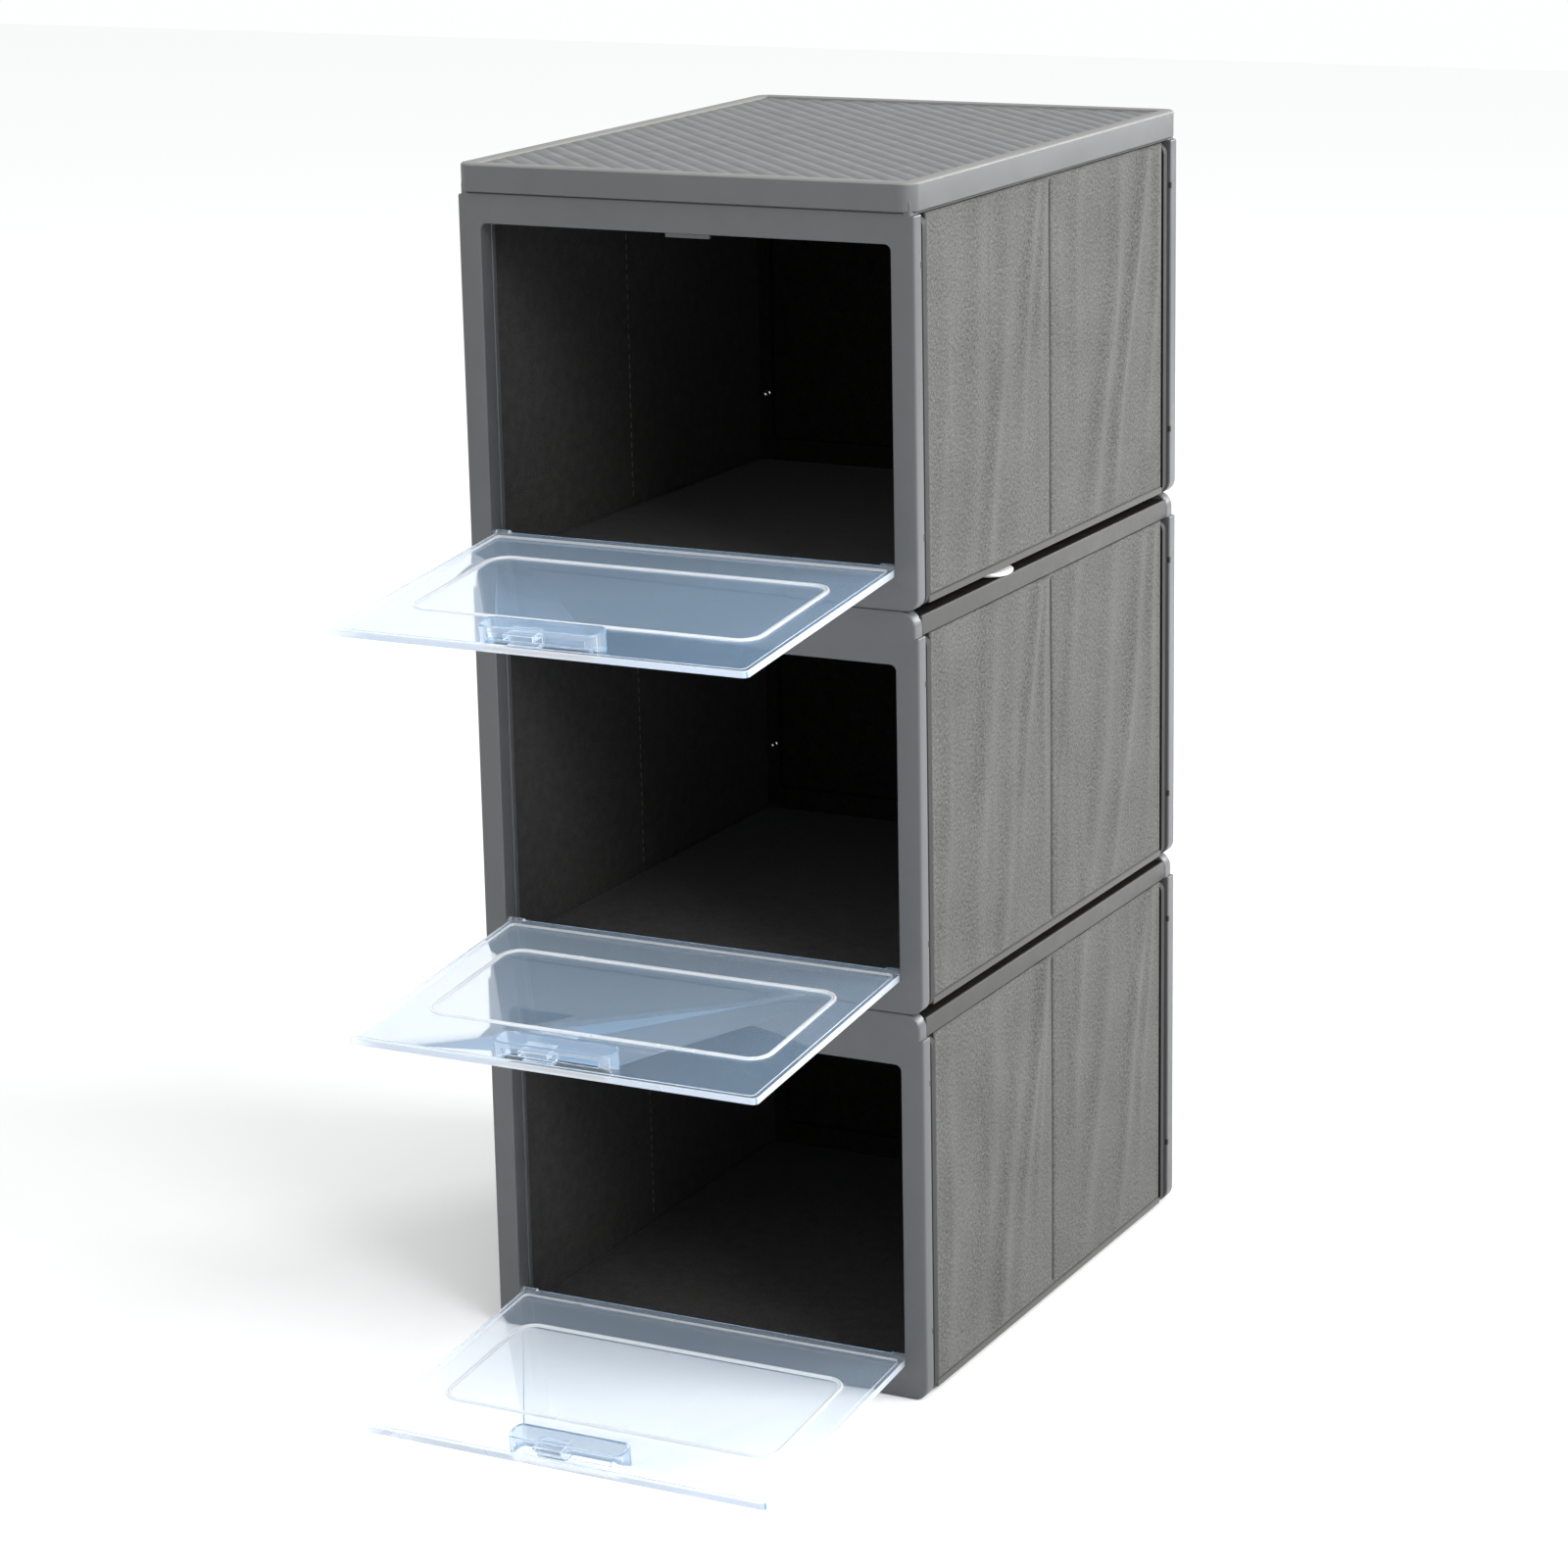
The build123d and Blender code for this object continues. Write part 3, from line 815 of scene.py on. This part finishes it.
@dataclass
class Box:
    """One collapsible box of the stack. Sizes are in millimetres."""

    tier: int
    palette: Palette
    shape: FrameShape
    plate: float = 8.0  # depth of a frame's face ring
    edge_radius: float = 1.1
    opening_edge: float = 0.6  # radius, as edge_radius
    seam: float = 1.3  # how far the groove behind each jamb is set back
    notch_heights: tuple[float, float] = (35.0, 164.0)
    notch: tuple[float, float, float] = (1.5, 0.8, 1.6)  # depth, and half sizes in Y and Z
    notch_setback: float = 7.3
    keeper: tuple[float, float, float] = (12.0, 2.0, 3.0)  # half width, thickness, half height
    keeper_setback: float = 6.5
    cloth: float = 0.9  # thickness of the linen
    crease: float = 5.0  # half of the width over which it bends
    inward: float = 0.8  # of the linen's middle from the skins' face
    end_gap: float = 0.4  # from floor and roof to the rear frame
    fold_travel: float = 96.35
    stitch: float = 3.0
    stitch_pitch: float = 5.2
    stud: tuple[float, float] = (-113.4, 40.5)  # X and Z
    droop: float = 6.0  # of the open door, in degrees
    hinge: tuple[float, float] = (-155.8, 19.2)  # Y and Z of the door's hinge line
    door_length: float = 153.7
    pivot: float = 2.4  # pins past the door's sides
    line_width: float = 2.9
    line_insets: tuple[float, float, float] = (17.0, 29.0, 40.0)  # from the sides, hinge and far edge
    line_radius: float = 11.0
    # Soft folds of the linen: place along the wall, lean, width, strength in mm, middle height, reach.
    FOLDS: ClassVar[np.ndarray] = np.array([
        (-0.09, 0.06, 0.030, 1.4, 1.00, 0.60), (-0.24, 0.20, 0.042, 2.1, 0.90, 0.60),
        (-0.40, 0.18, 0.055, 1.9, 0.20, 0.60), (-0.64, 0.14, 0.070, 1.8, 0.60, 0.60),
        (-0.88, 0.04, 0.045, 1.0, 0.40, 0.50), (0.18, 0.10, 0.050, 1.6, 0.90, 0.50),
        (0.44, 0.24, 0.065, 2.3, 0.45, 0.60), (0.70, 0.30, 0.050, 2.6, 0.60, 0.60),
        (0.88, 0.10, 0.035, 1.4, 0.80, 0.50),
    ])

    def __post_init__(self) -> None:
        """Read the box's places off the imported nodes."""
        low, high = node_box(self.node("front_frame"))
        self.base, self.front, self.jamb_back, self.side = low[2], low[1], high[1], high[0]

    def node(self, piece: str) -> str:
        """Name of this box's node or body for a piece."""
        return f"tier_{self.tier}_{piece}"

    def lift(self, points: np.ndarray) -> np.ndarray:
        """Raise points of a box that stands on the floor to this tier."""
        return points + [0.0, 0.0, self.base]

    def finish(self, piece: bpy.types.Object, body: str, slot: str, *nodes: str) -> None:
        """Hand over a piece with names that leave out the tier.

        Args:
            piece: The piece.
            body: The body that it rides on.
            slot: Name of a material slot, handed on to hand_over.
            nodes: The nodes that it stands for.
        """
        hand_over(piece, self.node(body), slot, *(self.node(node) for node in nodes))

    def frame_surface(self, end: End) -> Surface:
        """Frame ring: outer edge rounded to the face, face to the opening's rounded edge, jamb, collar.

        The section is carried round the frame by joining outlines of the same number of points, each
        at its own Y.

        Args:
            end: Front or rear frame.

        Returns:
            The closed surface.
        """
        shape, sign = self.shape, end.value
        front, back, collar_back = abs(self.front), abs(self.front) - self.plate, abs(self.jamb_back)
        quarter = np.linspace(0, math.pi / 2, 5)
        collar = shape.window(self.side - 4.0, 4.0, shape.shoulder - 4.0, shape.foot_radius,
                              shape.foot_radius)
        rings = [(collar, back), (shape.outer(0.5), back), (shape.outer(0.0), back + 0.5)]
        rings += [(shape.outer(self.edge_radius * (1 - math.cos(a))),
                   front - self.edge_radius * (1 - math.sin(a))) for a in quarter]
        rings += [(shape.opening(self.opening_edge * (1 - math.sin(a))),
                   front - self.opening_edge * (1 - math.cos(a))) for a in quarter]
        rings += [(shape.opening(0.0), back), (shape.opening(self.seam), back),
                  (shape.opening(self.seam), collar_back), (collar, collar_back)]
        points = np.array([stand(outline, sign * y) for outline, y in rings])
        return Surface().grid(self.lift(points), wrap=(True, True), flip=end is End.FRONT)

    def make_frame(self, end: End) -> None:
        """Frame with its snap notches, and the keeper tab of the front one.

        Args:
            end: Front or rear frame.
        """
        surface = self.frame_surface(end)
        if end is End.FRONT:
            half, thick, reach = self.keeper
            near, middle = self.front + self.keeper_setback, self.shape.opening_top
            add_box(surface, (-half, near, middle - reach + self.base),
                    (half, near + thick, middle + reach + self.base), 0.5)
        self.add_notches(surface, end)
        piece = surface.build(self.node(f"{end.word}_frame_shell"),
                              self.palette.pick("frame_plastic", "groove_shadow"))
        self.finish(piece, end.word, "frame_plastic", f"{end.word}_frame")

    def add_notches(self, surface: Surface, end: End) -> None:
        """Add the snap recesses at the back edge of a frame's sides, as small near-black boxes painted with
        the shade that fills each recess.

        Args:
            surface: The frame's surface.
            end: Front or rear frame.
        """
        middle, (deep, long, tall) = end.value * (abs(self.front) - self.notch_setback), self.notch
        for side in Side:
            left, right = side.span(self.side - deep, self.side + 0.08)
            for height in self.notch_heights:
                add_box(surface, (left, middle - long, self.base + height - tall),
                        (right, middle + long, self.base + height + tall), 0.25, 1)

    def make_retainer(self, end: End) -> None:
        """Inner ring that holds the lining and the side walls, with a rounded inner edge.

        Args:
            end: Front or rear retainer.
        """
        low, high = node_box(self.node("front_retainer"))
        near, far = abs(high[1]), abs(low[1])
        shape = self.shape
        outer = shape.window(high[0], low[2] - self.base, high[2] - self.base, 6.0, 6.0)
        rings = [(outer, far), (outer, near), (shape.opening(1.4), near), (shape.opening(0.8), near + 0.25),
                 (shape.opening(0.5), near + 0.9), (shape.opening(0.5), far - 0.4), (shape.opening(0.8), far)]
        points = self.lift(np.array([stand(outline, end.value * y) for outline, y in rings]))
        # The outer band is painted with shade in the near-black groove_shadow finish, a dark line standing in
        # for the shadow where the ring meets the linen.
        surface = Surface().grid(points[:2], wrap=(False, True), flip=end is End.REAR, slot=1)
        surface.grid(np.vstack([points[1:], points[:1]]), wrap=(False, True), flip=end is End.REAR)
        name = f"{end.word}_retainer"
        # The rear ring is dressed in the lining painted darker with shade, which stands in for the shade at
        # the back of the box.
        finish = "frame_plastic" if end is End.FRONT else "painted_shade_lining"
        piece = surface.build(self.node(f"{name}_ring"), self.palette.pick(finish, "groove_shadow"))
        self.finish(piece, end.word, "frame_plastic", name)

    def make_back_panel(self) -> None:
        """Back panel, with linen over its outside and edges, and inside the lining painted darker with shade.
        """
        piece = bevelled_copy(self.node("back_panel"), self.node("back_panel_cover"),
                              self.palette.pick("painted_shade_lining", "panel_linen"), 0.6,
                              lambda centre, normal: int(normal.y > 0.5))
        self.finish(piece, "rear", "lining_fabric", "back_panel")

    def make_side_sheet(self, side: Side) -> None:
        """One sheet of linen over both boards of a side, creased at mid-depth.

        Args:
            side: Which wall.
        """
        low, high = node_box(self.node(f"{side.word}_front_skin"))
        back = node_box(self.node(f"{side.word}_rear_skin"))[1][1]
        outer = max(abs(low[0]), abs(high[0]))
        share = np.linspace(-1, 1, 241)
        y = back * np.sign(share) * np.abs(share) ** 1.3
        z = np.linspace(low[2], high[2], 141)
        along, up = np.meshgrid(y, z)
        relief = self.wrinkles(along / back, (up - low[2]) / (high[2] - low[2]), side)
        edge = np.minimum(np.minimum(along - low[1], back - along), np.minimum(up - low[2], high[2] - up))
        relief = relief * np.clip(edge / 3.0, 0, 1) - 0.7 * np.exp(-edge / 0.8)
        points = np.stack([side.value * (outer + relief), along, up], -1)
        places = np.stack([along, up], -1) * MM + [0.0, 0.37 * self.tier + 0.19 * side.value]
        surface = Surface().grid(points, flip=side is Side.LEFT, places=places)
        name = f"{side.word}_linen"
        piece = surface.build(self.node(name), [self.palette["side_linen"]])
        shell = piece.modifiers.new("cloth", "SOLIDIFY")
        shell.thickness = self.cloth * MM
        shell.offset = -1.0
        walls, skins, boards = ([self.node(f"{side.word}_{end.word}_{kind}") for end in End]
                                for kind in ("wall", "skin", "board"))
        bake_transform(piece)
        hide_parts(*skins)
        log.info("made %s", piece.name)

    def wrinkles(self, along: np.ndarray, up: np.ndarray, side: Side) -> np.ndarray:
        """Relief of the stretched linen, in millimetres.

        Long soft folds run up the wall: each is a bell across Y whose middle wanders with height and
        whose strength changes along it. The crease is a narrow groove with a soft shoulder.

        Args:
            along: Y as a share of the half depth, -1 to 1.
            up: Height as a share of the wall, 0 to 1.
            side: Which wall.

        Returns:
            Outward relief for each point.
        """
        draw = np.random.default_rng(11 + 7 * self.tier + side.value)
        relief = 0.35 * np.cos(along * math.pi / 2) * np.sin(up * math.pi)
        ranges = ((-0.95, 0.95), (-0.12, 0.12), (0.015, 0.03), (0.15, 0.4), (0.0, 1.0), (0.2, 0.5))
        small = np.stack([draw.uniform(least, most, 9) for least, most in ranges], -1)
        for middle, lean, width, strength, centre, reach in np.vstack([self.FOLDS, small]):
            line = middle + draw.uniform(-0.05, 0.05) + lean * (up - 0.5)
            line = line + 0.02 * np.sin(up * 6.0 + draw.uniform(0, 6.28))
            fade = np.exp(-(((up - centre) / reach) ** 2))
            relief += strength * draw.uniform(0.7, 1.2) * fade * np.exp(-(((along - line) / width) ** 2))
        groove = -1.0 * np.exp(-((along / 0.007) ** 2)) - 0.3 * np.exp(-((along / 0.03) ** 2))
        return relief - self.inward + groove

    def make_floor(self) -> None:
        """Lined floor board with a linen hem up each side."""
        low, high = node_box(self.node("floor_front_leaf"))
        rear = node_box(self.node("floor_rear_leaf"))[1][1] - self.end_gap
        z, half, front = self.base, high[0], low[1]
        surface = Surface()
        add_box(surface, (-half + 4.0, front, z + 0.2), (half - 4.0, rear, z + 2.6), 0.8)
        add_box(surface, (-half + 1.2, front, z + 1.9), (half - 1.2, rear, z + 3.6), 0.6)
        for side in Side:
            for inner, outer, slot in ((3.4, 1.0, 0), (1.6, 0.0, 1)):
                left, right = side.span(half - inner, half - outer)
                add_box(surface, (left, front, z + 1.8), (right, rear, high[2] + 0.2), 0.5, slot)
        piece = surface.build(self.node("floor_liner"), self.palette.pick("dark_lining", "side_linen"))
        self.finish(piece, "front", "lining_fabric", "floor_front_leaf", "floor_rear_leaf")
        self.gather(piece, front)

    def make_roof(self) -> None:
        """Roof board with a smooth bound edge down each side."""
        low, high = node_box(self.node("roof_front_leaf"))
        rear = node_box(self.node("roof_rear_leaf"))[1][1] - self.end_gap
        half, front = high[0], low[1]
        surface = Surface()
        # The roof's board is dressed in the lining painted darker with shade, so that the gap above it reads
        # as black shadow.
        add_box(surface, (-half + 1.0, front, high[2] - 3.4), (half - 1.0, rear, high[2] - 0.2), 0.8)
        for side in Side:
            left, right = side.span(half - 1.5, half)
            add_box(surface, (left, front, low[2]), (right, rear, high[2]), 0.5, 1)
        piece = surface.build(self.node("roof_cover"), self.palette.pick("painted_shade_lining", "band_plastic"))
        self.finish(piece, "front", "roof_binding", "roof_front_leaf", "roof_rear_leaf")
        self.gather(piece, front)

    def gather(self, piece: bpy.types.Object, front: float) -> None:
        """Give a piece its own copy of its mesh.

        Args:
            piece: The piece.
            front: Y of the piece's front edge, in millimetres; not used.
        """
        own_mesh(piece)

    def make_stitches(self, side: Side) -> None:
        """Row of stitches up the inside of a wall, just before its crease.

        Args:
            side: Which wall.
        """
        low, high = node_box(self.node(f"{side.word}_front_board"))
        face = min(abs(low[0]), abs(high[0]))
        left, right = side.span(face - 0.35, face + 0.3)
        surface = Surface()
        for z in np.arange(low[2] + 4.0, high[2] - 4.0, self.stitch_pitch):
            add_box(surface, (left, -3.4, z), (right, -2.7, z + self.stitch), 0.3)
        piece = surface.build(self.node(f"{side.word}_stitches"), self.palette.pick("thread"))
        self.finish(piece, f"{side.word}_front_wall", "lining_fabric")

    def make_stud(self) -> None:
        """Small bright snap on the rear retainer, low in its left corner."""
        near = abs(node_box(self.node("front_retainer"))[1][1])
        x, z = self.stud
        dome = turned(np.array([(2.2, 0.0), (2.2, 0.5), (2.0, 0.9), (1.5, 1.15), (0.9, 0.8), (0.05, 0.75)]),
                      self.lift(np.array([x, near + 0.1, z])), 1, -1.0, 24)
        self.finish(dome.build(self.node("snap_stud"), self.palette.pick("stud_metal")), "rear",
                    "frame_plastic")

    def make_door(self) -> None:
        """Clear door and its latch tongue: clear sheets, and rims, ribs and edges in a milkier copy of the
        plastic, which paints them as bright highlight lines.
        """
        droop = math.radians(self.droop)
        out = Vector((0.0, -math.sin(droop), math.cos(droop)))
        ahead = Vector((0.0, -out.z, out.y))
        hinge = Vector((0.0, self.hinge[0], self.base + self.hinge[1])) * MM
        half = node_box(self.node("door"))[1][0] - self.pivot

        def zone(centre: Vector, normal: Vector) -> int:
            """Tell the faces painted as bright highlight edges from the clear ones.

            Args:
                centre: Middle of a face.
                normal: Its direction.

            Returns:
                1 for the plate's outer edges and its raised line, and 0 for the other faces.
            """
            level = (centre - hinge).dot(out) / MM
            at_end = (abs(centre.x) / MM > half - 0.2
                      or (centre - hinge).dot(ahead) / MM > self.door_length - 0.7)
            edge = abs(normal.dot(out)) < 0.3 and level < 0.9 and at_end
            return int(edge or abs(level - 0.1) < 0.2)

        materials = self.palette.pick("clear_plastic", "clear_edges")
        for part, body, width in (("door", "door_body", 0.35), ("latch_tongue", "latch", 0.25)):
            piece = bevelled_copy(self.node(part), self.node(f"{part}_clear"), materials, width, zone)
            piece.visible_shadow = False
            self.finish(piece, body, "clear_plastic", part)
        self.make_door_line(out, half)

    def make_door_line(self, out: Vector, half: float) -> None:
        """Soft crown along the raised line that frames the middle of the open door.

        Across the line its height is a cosine bell, from just under the plate's face to just above it.

        Args:
            out: Direction straight up off the open door.
            half: Half of the door's width.
        """
        beside, near_hinge, before_end = self.line_insets
        rings = []
        for across in np.linspace(-1.0, 1.0, 9):
            inset = 1.0 + across * self.line_width / 2
            x, near, far = half - beside - inset, near_hinge + inset, self.door_length - before_end - inset
            corners = np.array([(x, near), (x, far), (-x, far), (-x, near)])
            flat = arcs(corners, np.full(4, self.line_radius - inset), 12)
            level = -0.66 + 0.96 * math.cos(across * math.pi / 2) ** 2
            y = self.hinge[0] + out.y * level - flat[:, 1] * out.z
            z = self.hinge[1] + out.z * level + flat[:, 1] * out.y
            rings.append(np.stack([flat[:, 0], y, z], -1))
        # The raised line is in the milkier edge finish, painted as a bright highlight line.
        piece = Surface().grid(self.lift(np.array(rings)), wrap=(False, True)).build(
            self.node("door_line"), self.palette.pick("clear_edges"))
        piece.visible_shadow = False
        self.finish(piece, "door_body", "clear_plastic")

    def build(self) -> None:
        """Make and dress every piece of the box."""
        for end in End:
            self.make_frame(end)
        for side in Side:
            self.make_side_sheet(side)
            for end in End:
                dress(self.node(f"{side.word}_{end.word}_board"), self.palette["dark_lining"])
            self.make_stitches(side)
        for end in End:
            self.make_retainer(end)
        self.make_back_panel()
        self.make_floor()
        self.make_roof()
        self.make_stud()
        self.make_door()


@dataclass
class Lid:
    """Ribbed lid over the top box. Sizes are in millimetres, and rib_turn in degrees."""

    palette: Palette
    edge: float = 1.3
    corner: float = 8.0
    wall: float = 1.5
    rim: float = 7.5
    rim_raise: float = 0.8
    rib_pitch: float = 9.3
    rib_height: float = 1.0
    rib_turn: float = -45.0
    cell: float = 1.35

    def __post_init__(self) -> None:
        """Read the lid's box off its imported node."""
        self.low, self.high = node_box("lid")

    def outline(self, inset: float, z: float) -> np.ndarray:
        """Rounded rectangle at a height.

        Args:
            inset: How far inside the lid's sides, in millimetres.
            z: Height.

        Returns:
            Array of X, Y, Z points.
        """
        x, y = self.high[0] - inset, self.high[1] - inset
        flat = arcs(rectangle(-x, -y, x, y), np.full(4, max(self.corner - inset, 0.6)), 9)
        return np.column_stack([flat, np.full(len(flat), z)])

    def build(self) -> None:
        """Make the lid: skirt and rim as one sweep round the outline, and the ribbed field inside."""
        surface = Surface()
        bottom, top, quarter = self.low[2], self.high[2], np.linspace(0, math.pi / 2, 6)
        plate = top - self.rim_raise
        profile = [(self.wall, plate - 1.0), (self.wall, bottom + 0.4), (self.wall - 0.4, bottom),
                   (0.3, bottom), (0.0, bottom + 0.3)]
        profile += [(self.edge * (1 - math.cos(a)), top - self.edge * (1 - math.sin(a))) for a in quarter]
        profile += [(self.rim - 1.2, top), (self.rim - 0.6, top - 0.12), (self.rim - 0.2, top - 0.4),
                    (self.rim, plate - 0.5)]
        rings = np.array([self.outline(inset, z) for inset, z in profile])
        surface.grid(rings[:7], wrap=(False, True))
        # The rim is in the lighter copy of the lid plastic, a painted highlight along its rounded top.
        surface.grid(rings[6:], wrap=(False, True), slot=1)
        surface.cap(rings[0], flip=True)
        surface.cap(rings[-1])
        self.add_field(surface, plate)
        # A near-black ring under the skirt's lower edge, painted shadow that stands in for the shadow line
        # between lid and frame.
        painted_shadow_ring = np.array([self.outline(inset, z) for inset, z in (
            (self.wall, bottom + 0.2), (self.wall - 0.25, bottom + 0.2), (self.wall - 0.25, bottom - 0.9),
            (self.wall, bottom - 0.9))])
        surface.grid(painted_shadow_ring, wrap=(True, True), flip=True, slot=3)
        finishes = self.palette.pick("lid_plastic", "lid_rim", "lid_field", "groove_shadow")
        hand_over(surface.build("lid_cover", finishes), "lid_body", "lid_plastic", "lid")

    def add_field(self, surface: Surface, plate: float) -> None:
        """Add the field of slanting waves, which sink into the rim all round.

        Height is the plate less the rib height, plus the rib height times the cosine of the distance across
        the ribs without its sign, to the power 0.7, which makes the hollows narrower than the crests.

        Args:
            surface: The lid's surface.
            plate: Height of the hollows.
        """
        x_half, y_half = self.high[0] - self.rim + 0.3, self.high[1] - self.rim + 0.3
        x = np.linspace(-x_half, x_half, round(2 * x_half / self.cell))
        y = np.linspace(-y_half, y_half, round(2 * y_half / self.cell))
        across, along = np.meshgrid(x, y)
        turn = math.radians(self.rib_turn)
        distance = -across * math.sin(turn) + along * math.cos(turn)
        wave = np.abs(np.cos(distance * math.pi / self.rib_pitch)) ** 0.7
        edge = np.minimum(x_half - np.abs(across), y_half - np.abs(along))
        z = plate - self.rib_height + self.rib_height * wave - 0.6 * np.exp(-edge / 0.6)
        surface.grid(np.stack([across, along, z], -1), slot=2)


@dataclass
class Studio:
    """Camera, lights and floor."""

    azimuth: float = 27.534
    elevation: float = 14.984
    roll: float = -1.134
    distance: float = 2.312
    target: tuple[float, float, float] = (-0.0333, 0.0, 0.2610)
    lens: float = 100.81
    floor_half: float = 6000.0  # in millimetres; the other lengths are in metres
    floor_reach: tuple[float, float] = (0.5, 2.2)
    floor_shade: tuple[float, float] = (0.76, 0.94)  # at the two ends of the reach
    # Soft lamps: name, place, aim, size and power in watts.
    LAMPS: ClassVar[tuple] = (
        ("key", (2.4, 0.35, 1.7), (0.0, 0.0, 0.3), 1.2, 62.0),
        ("rear", (1.3, 2.2, 1.1), (0.0, 0.0, 0.3), 0.8, 36.0),
        ("front", (1.9, -1.15, 1.5), (0.0, 0.0, 0.3), 0.8, 22.0),
        ("overhead", (0.2, -0.8, 2.9), (0.0, 0.0, 0.5), 1.4, 12.0),
    )

    def build(self) -> None:
        """Make the camera, the floor, the sky and the lamps."""
        self.make_camera()
        self.make_floor()
        self.make_lights()

    def make_camera(self) -> None:
        """Camera on a sphere about the target, rolled a little."""
        azimuth, elevation = math.radians(self.azimuth), math.radians(self.elevation)
        back = Vector((math.sin(azimuth) * math.cos(elevation), -math.cos(azimuth) * math.cos(elevation),
                       math.sin(elevation)))
        camera = bpy.data.cameras.new("camera")
        camera.lens = self.lens
        camera.clip_start, camera.clip_end = 0.05, 50.0
        seat = link("camera", camera)
        turn = back.to_track_quat("Z", "Y").to_matrix().to_4x4() @ Matrix.Rotation(
            math.radians(self.roll), 4, "Z")
        seat.matrix_world = Matrix.Translation(Vector(self.target) + back * self.distance) @ turn
        bpy.context.scene.camera = seat

    def make_floor(self) -> None:
        """Plain pale floor, a little darker near the stack so that it looks even under the lamps."""
        floor_material = bpy.data.materials.new("pale_floor")
        floor_material.use_nodes = True
        nodes = NodeTree(floor_material.node_tree)
        place = nodes.add("ShaderNodeTexCoord").outputs["Object"]
        away = nodes.add("ShaderNodeVectorMath", {0: place}, operation="LENGTH").outputs["Value"]
        shade = nodes.remap(away, *self.floor_reach, *self.floor_shade)
        shader = nodes.add("ShaderNodeBsdfPrincipled",
                           {"Base Color": shade, "Roughness": 0.9, "Specular IOR Level": 0.0})
        nodes.add("ShaderNodeOutputMaterial", {"Surface": shader.outputs[0]})
        x, y = np.meshgrid([-self.floor_half, self.floor_half], [-self.floor_half, self.floor_half])
        points = np.stack([x, y, np.full(x.shape, CAD_LOW.z / MM - 0.1)], -1)
        Surface().grid(points).build("floor", [floor_material])

    def make_lights(self) -> None:
        """White sky and the soft lamps, with colours shown as they are."""
        world = bpy.data.worlds.new("studio")
        world.use_nodes = True
        sky = world.node_tree.nodes["Background"]
        sky.inputs["Color"].default_value = (0.99, 0.995, 1.0, 1.0)
        sky.inputs["Strength"].default_value = 1.0
        bpy.context.scene.world = world
        bpy.context.scene.view_settings.view_transform = "Standard"
        for name, place, aim, size, power in self.LAMPS:
            lamp = bpy.data.lights.new(name, "AREA")
            lamp.size = size
            lamp.energy = power
            seat = link(name, lamp)
            seat.location = place
            seat.rotation_euler = (Vector(place) - Vector(aim)).to_track_quat("Z", "Y").to_euler()


def make_floor_disc(palette: Palette) -> None:
    """White nylon glide under the top box, rounded towards its underside.

    Args:
        palette: The finishes.
    """
    low, high = node_box("tier_1_floor_disc")
    middle, radius = (low + high) / 2, (high[0] - low[0]) / 2
    shape = np.array([(0.02, 0.0), (0.80, 0.0), (0.90, 0.25), (0.97, 0.9), (1.0, 1.7), (1.0, 2.3),
                      (0.98, 2.6), (0.02, 2.6)])
    glide = turned(shape * [radius, 1.0], np.array([middle[0], middle[1], low[2]]), 2, 1.0, 64)
    hand_over(glide.build("tier_1_glide", palette.pick("white_nylon")), "tier_1_front", "white_nylon",
              "tier_1_floor_disc")


def main() -> None:
    """Build the studio and the stack."""
    logging.basicConfig(level=logging.INFO, format="%(name)s: %(message)s")
    Studio().build()
    palette = Palette()
    outermost = node_box("tier_3_rear_frame")[1]
    shape = FrameShape(half_width=outermost[0], height=outermost[2])
    for tier in TIERS:
        Box(tier, palette, shape).build()
    Lid(palette).build()
    make_floor_disc(palette)


if __name__ == "__main__":
    main()
